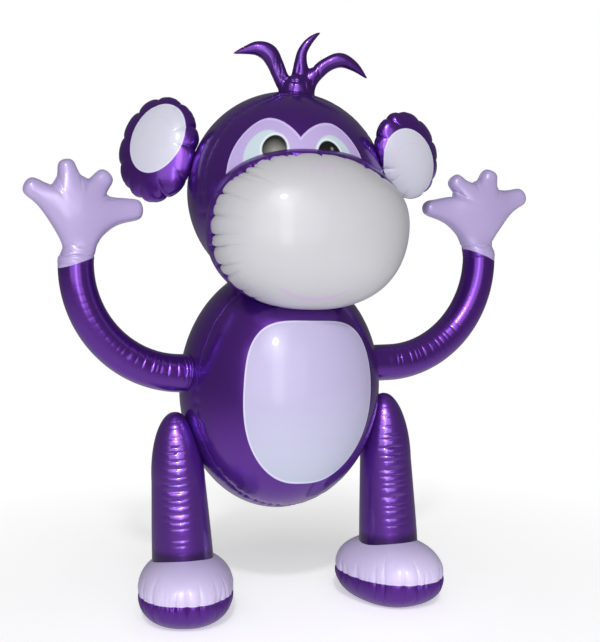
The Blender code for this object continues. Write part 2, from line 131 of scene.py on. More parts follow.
WRIST_SHARE = 1.12
# Height of the edge between purple and lavender at the wrist, and its slope outwards
WRIST_EDGE = {"right": (0.0015, -0.31), "left": (0.0010, -0.42)}

ANKLE_DIAMETER = 0.0640
THIGH_DIAMETER = 0.0555
LEG_NOSE = 0.072
LEG_TOP = {"right": 0.1075, "left": 0.1175}
LEG_WELD_HEIGHT = 0.078
LEG_PRESS = 0.010
LEG_FORWARD = 0.007
ANKLE_FORWARD = 0.005
ANKLE_SPREAD = 0.1155
LEG_SEAM_TURN = {"right": radians(-17.0), "left": radians(-4.0)}

FOOT_LENGTH = 0.138
FOOT_WIDTH = 0.100
FOOT_SEAM_HEIGHT = 0.032
FOOT_INSTEP = 0.038
SOLE_BULGE = 0.036
TOE_REACH = 0.004
FOOT_INSET = 0.0015
TOE_OUT = {"right": radians(-16.0), "left": radians(15.0)}
FOOT_SQUARENESS = 2.3
UPPER_SQUARENESS = 2.22

TORSO_MIDDLE = TORSO_BOTTOM + TORSO_HEIGHT / 2
NECK_HEIGHT = TORSO_MIDDLE + TORSO_HEIGHT / 2 * sqrt(1 - (NECK_WIDTH / TORSO_WIDTH) ** 2)
HEAD_MIDDLE = NECK_HEIGHT + HEAD_HEIGHT / 2 * sqrt(1 - (NECK_WIDTH / HEAD_WIDTH) ** 2)
SPINE = HEAD_MIDDLE - TORSO_MIDDLE
SPINE_LEAN = atan(HIP_SWAY / SPINE)
SIDES = (("right", -1), ("left", 1))

# Half sizes of the main balls: across, front to back, up
TORSO_HALVES = np.array((TORSO_WIDTH / 2, TORSO_DEPTH / 2, TORSO_HEIGHT / 2))
HEAD_HALVES = np.array((HEAD_WIDTH / 2, HEAD_DEPTH / 2, HEAD_HEIGHT / 2))
MUZZLE_HALVES = np.array((MUZZLE_WIDTH / 2, MUZZLE_DEPTH / 2, MUZZLE_HEIGHT / 2))
EAR_HALVES = np.array((EAR_WIDTH / 2, EAR_THICKNESS / 2, EAR_HEIGHT / 2))
INSTEP_HALVES = np.array((FOOT_WIDTH / 2, FOOT_LENGTH / 2, FOOT_INSTEP))

# Where the front and back panels meet, behind each ball's middle at minus these
TORSO_SEAM = 0.027
HEAD_SEAM = 0.031

# Roughness, metallic share and gloss of the purple film
PURPLE_FINISH = (0.25, 0.82, 0.45)

# Gloss of what is printed
PRINT_GLOSS = 0.35
FILM_SHINE = 0.25

# Way that the printed face looks, and the camera of the photograph
FACE_TURN = radians(-8.8)
FACE_ROLL = radians(4.5)
FACE_PIVOT = Vector((0.0, -0.090, 0.053))
VIEW_TURN = radians(-18.0)
VIEW_DISTANCE = 1.390
VIEW_HEIGHT = 0.417
VIEW_PITCH = radians(4.5)
VIEW_FOCUS = 1316.0
VIEW_AXIS = 287.0
PICTURE = (600, 642)

# How finely the skins are made: columns round each, and rows on its panels
BALL_COLUMNS, BALL_FRONT_ROWS, BALL_BACK_ROWS = 432, 46, 40
MUZZLE_COLUMNS, MUZZLE_FRONT_ROWS, MUZZLE_SIDE_ROWS, MUZZLE_BACK_ROWS = 640, 72, 20, 12
EAR_COLUMNS, EAR_ROWS = 352, 30
FOOT_COLUMNS, FOOT_ROWS = 400, 40
ARM_SIDES, LEG_SIDES, TUBE_STEP = 84, 112, 0.0010
ARM_STEPS, NOSE_STEPS, SHANK_STEPS = 60, 40, 24
TUFT_SIDES, TUFT_VOXEL = 20, 0.0010
HAND_LEVELS = 5
BEAD_SIDES, BEAD_STEP, NECK_BEAD_STEPS = 6, 0.0014, 240

# Numbers of pleats along the seams of the balls
TORSO_PLEATS, HEAD_PLEATS = 84, 76

# Half of the CAD's clear gap at a weld, how far outside a ball the film on it and a tube's end on it
# lie, as shares, and the half width at a tube's point
HALF_GAP = 0.00015
CLEAR, END_CLEAR = 1.003, 1.004
TUBE_POINT = 0.00005

# Belly print: height of its widest line, half of its turn round the torso, its reach down and up from
# that line, and its squareness below and above it
BELLY_LINE, BELLY_HALF_TURN = 0.005, radians(43.0)
BELLY_REACH, BELLY_SQUARENESS = (0.097, 0.070), (2.9, 4.1)

# Eye print, mirrored about the middle of the face. The patch goes straight down from its rise, and has
# one half width towards the nose and one away from it; ovals are given by middle and half sizes.
PATCH_MIDDLE, PATCH_RISE, PATCH_HALF_WIDTHS, PATCH_HEIGHT = 0.0405, 0.020, (0.0535, 0.0370), 0.0505
EYE_RING = ((0.0375, 0.0320), (0.0235, 0.0260))
EYEBALL = ((0.0300, 0.0400), (0.0160, 0.0158))
PUPIL = ((0.0300, 0.0400), (0.0136, 0.0132))
# The sheen and the glint on the pupils are a painted reflection and a painted highlight
PUPIL_PAINTED_SHEEN = ((0.0305, 0.0365), (0.0120, 0.0120))
PAINTED_GLINT = ((0.0335, 0.0455), (0.0018, 0.0016))
PUPIL_SHIFT = {"right": (-0.0016, 0.0), "left": (0.0026, -0.0013)}

# Faint marks printed on the muzzle: arc of the smile with its top and half width, nose and its stem
SMILE_MIDDLE, SMILE_RADIUS, SMILE_TOP, SMILE_HALF_WIDTH = (-0.0090, -0.0110), 0.0575, -0.040, 0.0400
NOSE_X, NOSE_LOBE, NOSE_RADIUS, NOSE_BOTTOM = -0.0070, (0.0062, 0.0560), 0.0060, 0.0530
STEM_BOTTOM, STEM_TOP = 0.0460, 0.0570

# Tones of the finer printed parts, and of the painted reflection and painted highlight on the pupils
BELLY_EDGE_TONE, PATCH_EDGE_TONE, DISC_EDGE_TONE = (0.62, 0.61, 0.80), (0.61, 0.50, 0.83), (0.66, 0.66, 0.78)
EYEBALL_TONE, PUPIL_TONE, PAINTED_SHEEN_TONE = (0.80, 0.86, 0.90), (0.006, 0.006, 0.006), (0.23, 0.23, 0.20)
PAINTED_GLINT_TONE, CURL_TONE = (0.60, 0.62, 0.60), (0.80, 0.42, 0.66)

# Disc and curl printed on each ear: middles, half sizes, turn and radius
EAR_PRINT = {
    "right": ((0.0036, 0.0098), (0.0285, 0.0385), radians(-12.0), (0.0036, 0.0170), 0.0155),
    "left": ((-0.0075, -0.0030), (0.0290, 0.0400), 0.0, (-0.0090, 0.0010), 0.0195),
}

# The floor's disc fades to a plain white glow between two radii
FLOOR_RADIUS, FLOOR_SIDES, FLOOR_FADE = 0.95, 96, (0.28, 0.78)

# Lights: the way to the sun and its width with and without the halo, then place and size of the lamps
KEY_WAY, KEY_WIDTH, HALO_WIDTH = (0.0, 0.58, 0.80), radians(4.5), radians(30.0)
STRIP_SPOT, STRIP_SIZE = (0.12, 0.30, 2.05), (0.45, 1.60)
FILL_SPOT, FILL_SIZE = (0.0, 0.45, 2.10), (2.80, 1.60)
LIT_MIDDLE = Vector((0.0, 0.0, 0.32))
WHITE = (1.0, 1.0, 1.0, 1.0)


def tint(name, description, value):
    return FloatVectorProperty(name=name, description=description, subtype="COLOR", default=value,
                               min=0.0, max=1.0)


def length(name, description, value, low, high):
    return FloatProperty(name=name, description=description, unit="LENGTH", default=value, min=low, max=high)


def strength(name, description, value, unit="NONE"):
    return FloatProperty(name=name, description=description, unit=unit, default=value, min=0.0)


class FilmColours(PropertyGroup):
    """Colours of the films and of what is printed on them."""

    purple: tint("Purple", "Metallic film of the body", (0.145, 0.034, 0.370))
    hand: tint("Hand", "Lavender film of the hands", (0.480, 0.395, 0.685))
    foot: tint("Foot", "Pale film of the feet", (0.640, 0.560, 0.820))
    muzzle: tint("Muzzle", "Pearl film of the muzzle", (0.585, 0.577, 0.613))
    belly: tint("Belly", "Print on the belly", (0.475, 0.432, 0.645))
    belly_low: tint("Lower belly", "Bluer print low on the belly", (0.470, 0.500, 0.620))
    eye_patch: tint("Eye patch", "Lilac print round the eyes", (0.505, 0.400, 0.715))
    eye_ring: tint("Eye ring", "Pale print of the eyeballs", (0.560, 0.660, 0.710))
    ear_disc: tint("Ear disc", "Print inside the ears", (0.600, 0.600, 0.700))
    blush: tint("Blush", "Faint lines of nose and smile", (0.620, 0.450, 0.700))


class FilmRelief(PropertyGroup):
    """How the film gathers and wrinkles once it is blown up."""

    pleat_depth: length("Pleat depth", "Depth of the pleats along the seams", 0.0008, 0.0, 0.004)
    muzzle_pleat: length("Muzzle pleat", "Depth of the pleats round the muzzle", 0.0030, 0.0, 0.006)
    gather_depth: length("Ear gather", "Depth of the gathers of an ear's rim", 0.0030, 0.0, 0.008)
    wrinkle_depth: length("Limb wrinkle", "Depth of the wrinkles across a limb's seam", 0.0018, 0.0, 0.004)
    wrinkle_step: length("Wrinkle step", "Usual step between a limb's wrinkles", 0.0078, 0.002, 0.04)
    weld_radius: length("Weld radius", "Half the thickness of a welded edge", 0.00045, 0.0002, 0.002)
    seed: IntProperty(name="Seed", description="Chooses where pleats and wrinkles fall", default=7, min=0)


class StudioLight(PropertyGroup):
    """Light and floor of the studio."""

    key_power: strength("Key light", "Strength of the small soft light above the camera", 0.95)
    halo_power: strength("Halo", "Strength of the wide glow round the key light", 0.50)
    strip_power: strength("Strip light", "Power of the tall light beside the camera", 7.5, "POWER")
    fill_power: strength("Fill light", "Power of the broad soft light behind the camera", 20.0, "POWER")
    ceiling: strength("Ceiling", "Brightness of the room straight above the figure", 0.17)
    walls: strength("Walls", "Brightness of the room level with the figure", 0.125)
    floor: tint("Floor", "Colour of the floor", (0.90, 0.90, 0.91))
    floor_shine: strength("Floor shine", "Brightness of the floor in the film's reflections", 0.55)
    floor_glow: strength("Floor glow", "Light that comes up through the white floor", 0.46)


def lift(height):
    return Matrix.Translation((0.0, 0.0, height))


def back(distance):
    return Matrix.Translation((0.0, distance, 0.0))


def place(position, turn=0.0, tilt=0.0):
    """A place in the figure: turned about the upright axis, after a tilt that lifts the face."""
    return Matrix.Translation(position) @ Matrix.Rotation(turn, 4, "Z") @ Matrix.Rotation(-tilt, 4, "X")


def torso_half_width(above_bottom):
    off_middle = (above_bottom - TORSO_HEIGHT / 2) / (TORSO_HEIGHT / 2)
    return TORSO_WIDTH / 2 * sqrt(1 - off_middle ** 2)


def leg_axis(side_name, side):
    """The leg's top, beside the swayed hips, and the middle of its ankle, before the figure is moved."""
    hip = torso_half_width(LEG_WELD_HEIGHT) + THIGH_DIAMETER / 2 - LEG_PRESS
    top = Vector((side * hip - HIP_SWAY, -LEG_FORWARD, TORSO_BOTTOM + LEG_TOP[side_name]))
    ankle = Vector((side * ANKLE_SPREAD, -ANKLE_FORWARD, FOOT_SEAM_HEIGHT + FOOT_INSTEP / 2))
    return top, ankle


def foot_spot(side_name, side):
    """The middle of the foot's seam, with the toes towards its own -Y, before the figure is moved."""
    ankle = leg_axis(side_name, side)[1]
    middle = (ankle.x - side * FOOT_INSET, ankle.y - TOE_REACH, FOOT_SEAM_HEIGHT)
    return Matrix.Translation(middle) @ Matrix.Rotation(TOE_OUT[side_name], 4, "Z")


def figure_shift():
    """How far the CAD part moved the figure to stand on the origin, read from its right sole."""
    low, high = (Vector(corner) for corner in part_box("right_sole"))
    spot = foot_spot("right", -1).translation
    middle = (low + high) / 2
    return Matrix.Translation((middle.x - spot.x, middle.y - spot.y, 0.0))


SHIFT = figure_shift()
HEAD_PLACE = SHIFT @ lift(HEAD_MIDDLE) @ Matrix.Rotation(SPINE_LEAN, 4, "Y")
TORSO_PLACE = HEAD_PLACE @ place((0.0, 0.0, -SPINE), TORSO_TURN)
MUZZLE_PLACE = HEAD_PLACE @ Matrix.Translation((MUZZLE_SIDE, -MUZZLE_FORWARD, -MUZZLE_DROP))
FACE_PLACE = (SHIFT @ place((0.0, 0.0, HEAD_MIDDLE), FACE_TURN) @ Matrix.Translation(FACE_PIVOT)
              @ Matrix.Rotation(FACE_ROLL, 4, "Y") @ Matrix.Translation(-FACE_PIVOT))
TUFT_PLACE = SHIFT @ place((0.0, 0.0, HEAD_MIDDLE + HEAD_HEIGHT / 2), TUFT_TURN)


def ear_place(side_name, side):
    """The ear's middle, with its front towards its own -Y and its top towards its own Z."""
    reach = side * (HEAD_WIDTH / 2 + EAR_OVERHANG[side_name])
    position = (reach, EAR_BACK[side_name], EAR_RISE[side_name])
    spot = place(position, EAR_TURN[side_name], EAR_TILT[side_name])
    return HEAD_PLACE @ spot @ Matrix.Rotation(-side * EAR_LEAN[side_name], 4, "Y")


def wrist_place(side_name, side):
    height = TORSO_BOTTOM + ARM_HEIGHT[side_name] + ARM_BEND + ARM_LIFT
    wrist = Matrix.Translation((side * ARM_REACH[side_name], 0.0, height))
    return SHIFT @ Matrix.Rotation(TORSO_TURN, 4, "Z") @ wrist


def foot_place(side_name, side):
    return SHIFT @ foot_spot(side_name, side)


def moved(points, matrix):
    """Points, in any array whose last axis is x, y, z, carried by a matrix."""
    turn = np.array(matrix.to_3x3())
    return points @ turn.T + np.array(matrix.translation)


def turns(count):
    """Even steps once round a circle."""
    return np.arange(count) / count * tau


def wrapped(angle):
    """The same angle between minus and plus half a turn."""
    return (angle + pi) % tau - pi


def between(low, high, share):
    return low + (high - low) * share


def bell(off, width):
    """1 where off is 0, fading to 0 over a few widths to either side."""
    return np.exp(-(off / width) ** 2)


def fading(away, width):
    """1 at no distance, with a sharp peak, fading to 0 over a few widths."""
    return np.exp(-np.abs(away) / width)


def ball_points(halves, polar, around, squareness=2.0):
    """A ball's points; polar runs from the front pole at -Y, around runs from +X up to +Z."""
    polar, around = np.broadcast_arrays(polar, around[None, :])
    across = np.sin(polar)
    unit = np.stack((across * np.cos(around), -np.cos(polar), across * np.sin(around)), axis=-1)
    return unit / reach_in_ball(unit, 1.0, squareness)[..., None] * halves


def reach_in_ball(local, halves, squareness=2.0):
    """1 on the ball's surface, less inside it."""
    return (np.abs(local / halves) ** squareness).sum(axis=-1) ** (1.0 / squareness)


def pressed(points, matrix, halves, squareness=2.0, softness=0.0012):
    """Keep points out of a ball: film that would be inside lies against it, with a soft edge."""
    local = moved(points, matrix.inverted())
    length = np.linalg.norm(local, axis=-1)
    away = length * (1 - 1 / reach_in_ball(local, halves, squareness))
    kept = (away + np.sqrt(away ** 2 + softness ** 2)) / 2
    near = away < 6 * softness
    factor = np.where(near, 1 + (kept - away) / length, 1.0)
    return moved(local * factor[..., None], matrix)


def crowded(start, stop, count, power=1.7):
    """Steps from start to stop that grow smaller towards stop."""
    share = np.linspace(0.0, 1.0, count)
    return between(start, stop, 1 - (1 - share) ** power)


def outward(grid):
    """Unit normals of a grid whose columns close on themselves, away from its middle."""
    along = np.gradient(grid, axis=0)
    across = np.roll(grid, -1, axis=1) - np.roll(grid, 1, axis=1)
    normal = np.cross(along, across)
    normal /= np.linalg.norm(normal, axis=-1, keepdims=True) + 1e-12
    facing = ((grid - grid.mean(axis=(0, 1))) * normal).sum(axis=-1).mean()
    return normal if facing > 0.0 else -normal


def distance_from_row(grid, row):
    """How far each point is from one row, along its own column."""
    steps = np.linalg.norm(np.diff(grid, axis=0), axis=-1)
    run = np.concatenate((np.zeros((1, grid.shape[1])), np.cumsum(steps, axis=0)))
    return np.abs(run - run[row])


def pleats(seed, count, width, reach, depth, bend=0.0):
    """Pleats at uneven steps round a seam, as rows of angle, width, reach, depth and bend."""
    rng = np.random.default_rng(seed)
    steps = rng.uniform(0.45, 1.55, count)
    angles = np.cumsum(steps) / steps.sum() * tau
    spread = rng.uniform(0.6, 1.5, (3, count))
    bends = rng.uniform(-bend, bend, count)
    return np.stack((angles, width * spread[0], reach * spread[1], depth * spread[2], bends), axis=1)


def drawn_in(around, away, radius, marks, reach_scale=1.0):
    """How deep the film is drawn in by its pleats: sharp valleys that taper away from the seam."""
    depth = np.zeros(np.broadcast(around, away).shape)
    for angle, width, reach, deep, bend in marks:
        run = away / (reach * reach_scale)
        fade = np.clip(1 - run, 0.0, 1.0)
        off = wrapped(around - angle - bend * run ** 2) * radius
        depth += deep * fade ** 1.3 * fading(off, width * (0.35 + 0.65 * fade))
    return depth


def new_piece(name, data):
    thing = bpy.data.objects.new(name, data)
    bpy.context.scene.collection.objects.link(thing)
    return thing


def read_vectors(source, name):
    """One vector of each vertex, such as its position or its normal."""
    numbers = np.empty(len(source) * 3)
    source.foreach_get(name, numbers)
    return numbers.reshape(-1, 3)


def write_points(mesh, points):
    mesh.vertices.foreach_set("co", points.ravel())
    mesh.update()


def grid_mesh(name, grid, poles):
    """A closed mesh from a grid whose columns close on themselves and whose ends run to poles."""
    rows, columns = grid.shape[:2]
    verts = np.concatenate((grid.reshape(-1, 3), np.array(poles)))
    row = np.arange(rows - 1)[:, None] * columns
    column = np.arange(columns)[None, :]
    beside = (column + 1) % columns
    quads = np.stack((row + column, row + beside, row + columns + beside, row + columns + column), axis=-1)
    pole, last = rows * columns, (rows - 1) * columns
    ring = [(c, (c + 1) % columns) for c in range(columns)]
    fans = [(pole, after, c) for c, after in ring] + [(pole + 1, last + c, last + after) for c, after in ring]
    mesh = bpy.data.meshes.new(name)
    mesh.from_pydata(verts.tolist(), [], quads.reshape(-1, 4).tolist() + fans)
    return mesh


def finish_mesh(mesh, cut=None, sharp=radians(60.0)):
    """Faces outwards and smooth; cut is the place of a plane, above whose Z side all goes."""
    bm = bmesh.new()
    bm.from_mesh(mesh)
    if cut:
        everything = bm.verts[:] + bm.edges[:] + bm.faces[:]
        bmesh.ops.bisect_plane(bm, geom=everything, dist=1e-7, plane_co=cut.translation,
                               plane_no=cut.col[2].to_3d(), clear_outer=True)
        rim = [edge for edge in bm.edges if edge.is_boundary]
        bmesh.ops.holes_fill(bm, edges=rim, sides=0)
    bmesh.ops.recalc_face_normals(bm, faces=bm.faces[:])
    bm.to_mesh(mesh)
    bm.free()
    mesh.shade_smooth()
    mesh.set_sharp_from_angle(angle=sharp)


def add_skin(node_name, mesh, film, cut=None):
    """Finish a mesh and add it as the skin that stands for a CAD node."""
    finish_mesh(mesh, cut)
    return dressed(new_piece(mesh.name, mesh), [node_name], film)


def dressed(thing, node_names, material):
    """Give a piece its film, let it ride on the figure and stand for its CAD nodes."""
    if material.name not in thing.data.materials:
        thing.data.materials.clear()
        thing.data.materials.append(material)
    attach(thing, "root")
    if node_names:
        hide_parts(*node_names)
    return thing


def maths(operation, swapped=False):
    """A Term's operator that adds a Math node; swapped gives the reflected form."""
    def combine(self, other):
        return self.apply(operation, *((other, self) if swapped else (self, other)))
    return combine


class Term:
    """A number in a node tree; sums and products of terms add their own Math nodes."""

    __add__, __radd__ = maths("ADD"), maths("ADD", True)
    __sub__, __rsub__ = maths("SUBTRACT"), maths("SUBTRACT", True)
    __mul__, __rmul__ = maths("MULTIPLY"), maths("MULTIPLY", True)
    __truediv__, __rtruediv__ = maths("DIVIDE"), maths("DIVIDE", True)
    __pow__ = maths("POWER")
    above, most, least = maths("GREATER_THAN"), maths("MAXIMUM"), maths("MINIMUM")

    def __init__(self, nodes, socket):
        self.nodes = nodes
        self.socket = socket

    def apply(self, operation, *values, clamp=False):
        settings = {"operation": operation, "use_clamp": clamp}
        return self.nodes.number("ShaderNodeMath", settings, dict(enumerate(values)))

    def __abs__(self):
        return self.apply("ABSOLUTE", self)

    def clamped(self):
        return self.apply("ADD", self, 0.0, clamp=True)


class Nodes:
    """Adds nodes to a tree."""

    def __init__(self, tree):
        self.tree = tree

    def node(self, kind, settings=None, values=None):
        """Add a node of this kind, with its settings made first and then its sockets' values or links."""
        made = self.tree.nodes.new(kind)
        for name, value in (settings or {}).items():
            setattr(made, name, value)
        for key, value in (values or {}).items():
            source = value.socket if isinstance(value, Term) else value
            if isinstance(source, bpy.types.NodeSocket):
                self.tree.links.new(source, made.inputs[key])
            else:
                made.inputs[key].default_value = source
        return made

    def number(self, kind, settings=None, values=None, output=0):
        """Add a node and give one of its outputs as a term."""
        return Term(self, self.node(kind, settings, values).outputs[output])


class Sheet(Nodes):
    """One film: a Principled shader and the nodes that vary it."""

    def __init__(self, name, **constants):
        self.material = bpy.data.materials.new(name)
        self.material.use_nodes = True
        super().__init__(self.material.node_tree)
        self.shader = self.tree.nodes["Principled BSDF"]
        for key, value in constants.items():
            self.shader.inputs[key.replace("_", " ").title().replace("Ior", "IOR")].default_value = value
        self.object_space = self.node("ShaderNodeTexCoord").outputs["Object"]

    def place(self, matrix):
        """x, y and z of the surface in the frame of a place."""
        inverse = matrix.inverted()
        mapped = self.node("ShaderNodeMapping", {"vector_type": "POINT"}, {
            "Vector": self.object_space, "Location": inverse.translation,
            "Rotation": inverse.to_euler("XYZ")})
        parts = self.node("ShaderNodeSeparateXYZ", None, {0: mapped.outputs[0]})
        return [Term(self, output) for output in parts.outputs]

    def noise(self, scale, detail=2.0, roughness=0.5):
        return self.number("ShaderNodeTexNoise", None, {
            "Vector": self.object_space, "Scale": scale, "Detail": detail, "Roughness": roughness})

    def mix(self, share, low, high):
        """Between two colours by a share from 0 to 1."""
        values = {0: share, 6: colour(low), 7: colour(high)}
        return self.node("ShaderNodeMix", {"data_type": "RGBA"}, values).outputs[2]

    def feed(self, name, value):
        source = value.socket if isinstance(value, Term) else value
        self.tree.links.new(source, self.shader.inputs[name])

    def bump(self, height, strength, distance):
        made = self.node("ShaderNodeBump", None, {
            "Height": height, "Strength": strength, "Distance": distance})
        self.feed("Normal", made.outputs[0])


def colour(value):
    """Three numbers as a shader colour; a socket stays as it is."""
    return value if isinstance(value, bpy.types.NodeSocket) else (*value, 1.0)


def shaded(value, share):
    """A colour made darker, or lighter, by a share of it."""
    return [min(1.0, share * part) for part in value]


def angle_about(x, y, radius):
    """Way round the upright axis from the front, as metres on a circle of this radius."""
    return x.apply("ARCTAN2", x, -1.0 * y) * radius


def oval(x, z, middle, halves):
    """1 on the edge of an oval, less inside it."""
    across = (x - middle[0]) / halves[0]
    up = (z - middle[1]) / halves[1]
    return (across * across + up * up) ** 0.5


def away_from(x, z, middle):
    """Distance from a point of the print."""
    return oval(x, z, middle, (1.0, 1.0))


def inside(reach, size, edge=0.0007):
    """A mask from a reach: 1 inside, 0 outside, soft over the printed edge's width."""
    return ((1.0 - reach) * (size / edge) + 0.5).clamped()


def stroke(distance, width):
    """A mask for a printed line, from the distance to its middle."""
    return (1.0 - abs(distance) / width).clamped()


def new_film(name, base, roughness, metallic, coat=0.5):
    """A film with the slight mottling and the fine ripple of blown-up plastic."""
    sheet = Sheet(name, metallic=metallic, coat_weight=coat, specular_ior_level=FILM_SHINE,
                  coat_roughness=0.10, coat_ior=1.5, ior=1.5)
    cloudy = sheet.noise(9.0, 3.0)
    sheet.cloud = (cloudy - 0.5) * 2.0
    sheet.base = sheet.mix((cloudy * 0.5 + 0.1).clamped(), shaded(base, 0.86), shaded(base, 1.10))
    sheet.feed("Roughness", cloudy * 0.08 + roughness)
    sheet.bump(sheet.noise(55.0, 2.0, 0.4) * 0.9, 0.35, 0.0009)
    return sheet


def plain_film(name, base, roughness, metallic, coat=0.5):
    """A film of one colour, made once."""
    found = bpy.data.materials.get(name)
    if found:
        return found
    sheet = new_film(name, base, roughness, metallic, coat)
    sheet.feed("Base Color", sheet.base)
    return sheet.material


def settings():
    return bpy.context.scene.film_colours, bpy.context.scene.film_relief


def purple_film():
    """The body's metallic film."""
    return plain_film("purple film", settings()[0].purple, *PURPLE_FINISH)


def leg_film():
    """The body's film, made lighter on the legs as a painted highlight, with the whiter shine of the legs'
    tight wrinkles and a painted shade in the crease at the ankle.
    """
    found = bpy.data.materials.get("leg film")
    if found:
        return found
    purple = settings()[0].purple
    # Painted highlight: the body's purple is made lighter for the legs, so that their shine looks brighter
    sheet = new_film("leg film", shaded(purple, 1.15), 0.31, PURPLE_FINISH[1], 0.85)
    sheet.shader.inputs["Coat IOR"].default_value = 1.65
    _, _, z = sheet.place(Matrix.Identity(4))
    # Painted shade: the film is painted dark just above the foot, where shade falls in the ankle crease
    ankle_shade_top = FOOT_SEAM_HEIGHT + FOOT_INSTEP + 0.008
    crease = ((ankle_shade_top - z) / 0.006).clamped()
    sheet.feed("Base Color", sheet.mix(crease * 0.7, sheet.base, shaded(purple, 0.2)))
    return sheet.material


def torso_film():
    """Purple film with the belly printed on the front panel."""
    colours, _ = settings()
    sheet = new_film("torso film", colours.purple, *PURPLE_FINISH)
    x, y, z = sheet.place(TORSO_PLACE)
    rise = z - BELLY_LINE
    upper = rise.above(0.0)
    power = between(*BELLY_SQUARENESS, upper)
    across = abs(angle_about(x, y, 1.0)) / BELLY_HALF_TURN
    up = abs(rise) / between(*BELLY_REACH, upper)
    reach = (across ** power + up ** power) ** (1.0 / power)
    low = ((0.01 - z) / 0.10).clamped()
    printed = sheet.mix(low, colours.belly, colours.belly_low)
    edged = sheet.mix(inside(reach * 1.022, 0.08), BELLY_EDGE_TONE, printed)
    print_on(sheet, inside(reach, 0.08), edged)
    return sheet.material


def print_on(sheet, mask, tone):
    """Print a pale tone over the purple film where the mask is 1."""
    sheet.feed("Base Color", sheet.mix(mask, sheet.base, tone))
    sheet.feed("Metallic", PURPLE_FINISH[1] * (1.0 - mask))
    sheet.feed("Roughness", PURPLE_FINISH[0] + 0.09 * mask + sheet.cloud * 0.03)
    sheet.feed("Coat Weight", between(PURPLE_FINISH[2], PRINT_GLOSS, mask))


def head_film():
    """Purple film with the eyes printed on the front panel, mirrored about the middle of the face, with a
    painted reflection on one pupil and a painted highlight on the other.
    """
    colours, _ = settings()
    sheet = new_film("head film", colours.purple, *PURPLE_FINISH)
    x, y, z = sheet.place(FACE_PLACE)
    turned = angle_about(x, y, 0.1)
    along = abs(turned)
    off = (along - PATCH_MIDDLE) / between(*PATCH_HALF_WIDTHS, along.above(PATCH_MIDDLE))
    up = (z - PATCH_RISE).most(0.0) / PATCH_HEIGHT
    reach = (off * off + up * up) ** 0.5
    patch = inside(reach, 0.045) * (0.0 - y).above(0.0)
    core = inside(reach * 1.05, 0.045)
    ring = inside(oval(along, z, *EYE_RING), 0.024, 0.0016)
    left_eye = turned.above(0.0)
    eye_x, eye_z = (value - between(shift, other, left_eye) for value, shift, other in
                    zip((along, z), PUPIL_SHIFT["right"], PUPIL_SHIFT["left"]))
    eyeball = inside(oval(eye_x, eye_z, *EYEBALL), 0.016, 0.0016)
    pupil = inside(oval(eye_x, eye_z, *PUPIL), 0.0136, 0.0012)
    # Painted reflection: a lighter sheen on the right pupil; painted highlight: a small glint on the left one
    painted_sheen = (1.12 - oval(eye_x, eye_z, *PUPIL_PAINTED_SHEEN)).clamped()
    painted_glint = inside(oval(eye_x, eye_z, *PAINTED_GLINT), 0.002, 0.0018)
    tone = sheet.mix(core, PATCH_EDGE_TONE, colours.eye_patch)
    tone = sheet.mix(ring, tone, colours.eye_ring)
    tone = sheet.mix(eyeball * 0.7, tone, EYEBALL_TONE)
    lit = sheet.mix(painted_sheen * (1.0 - 0.97 * left_eye), PUPIL_TONE, PAINTED_SHEEN_TONE)
    tone = sheet.mix(pupil, tone, lit)
    tone = sheet.mix(painted_glint * left_eye * 0.35, tone, PAINTED_GLINT_TONE)
    print_on(sheet, patch, tone)
    return sheet.material


def muzzle_film():
    """Pearl film with a faint nose and smile, and purple at and behind its seam."""
    colours, _ = settings()
    metallic = 0.05
    sheet = new_film("muzzle film", colours.muzzle, 0.40, metallic, PRINT_GLOSS)
    x, _, z = sheet.place(MUZZLE_PLACE)
    from_seam = sheet.number("ShaderNodeAttribute", {"attribute_name": "from_seam"}, output="Fac")
    margin = ((0.0009 - from_seam) / 0.0007).clamped()
    ends = ((SMILE_HALF_WIDTH - abs(x - SMILE_MIDDLE[0])) / 0.012).clamped()
    smile = stroke(away_from(x, z, SMILE_MIDDLE) - SMILE_RADIUS, 0.0024)
    smile = smile * (SMILE_TOP - z).above(0.0) * ends
    side = x - NOSE_X
    arch = away_from(abs(side), z, NOSE_LOBE) - NOSE_RADIUS
    nose = stroke(arch, 0.0014) * ((z - NOSE_BOTTOM) / 0.003).clamped()
    stem = stroke(side, 0.0013) * (z - STEM_BOTTOM).above(0.0) * (STEM_TOP - z).above(0.0)
    marks = (smile * 0.85).most(nose * 0.75).most(stem * 0.60)
    tone = sheet.mix(marks, sheet.base, colours.blush)
    sheet.feed("Base Color", sheet.mix(margin, tone, colours.purple))
    sheet.feed("Metallic", between(metallic, PURPLE_FINISH[1], margin))
    return sheet.material


def ear_film(side_name, side):
    """Purple film with a pale disc and a faint curl printed on the ear's front."""
    colours, _ = settings()
    sheet = new_film(f"{side_name} ear film", colours.purple, *PURPLE_FINISH)
    x, y, z = sheet.place(ear_place(side_name, side))
    disc_middle, disc_halves, disc_turn, curl_middle, curl_radius = EAR_PRINT[side_name]
    off_x = x - disc_middle[0]
    off_z = z - disc_middle[1]
    turned_x = off_x * cos(disc_turn) + off_z * sin(disc_turn)
    turned_z = off_z * cos(disc_turn) - off_x * sin(disc_turn)
    reach = oval(turned_x, turned_z, (0.0, 0.0), disc_halves)
    disc = inside(reach, 0.032) * (0.0 - y).above(0.0)
    line = stroke(away_from(x, z, curl_middle) - curl_radius, 0.0011)
    line = line * (z - curl_middle[1] + 0.006).above(0.0)
    printed = sheet.mix(inside(reach * 1.045, 0.032), DISC_EDGE_TONE, colours.ear_disc)
    print_on(sheet, disc, sheet.mix(line * 0.30, printed, CURL_TONE))
    return sheet.material


def wrist_mask(sheet, side_name, side):
    """1 on the hand's side of the slanted edge at the wrist, 0 on the arm's."""
    x, _, z = sheet.place(wrist_place(side_name, side))
    height, slope = WRIST_EDGE[side_name]
    return ((z - height - slope * side * x) / 0.0008 + 0.5).clamped()


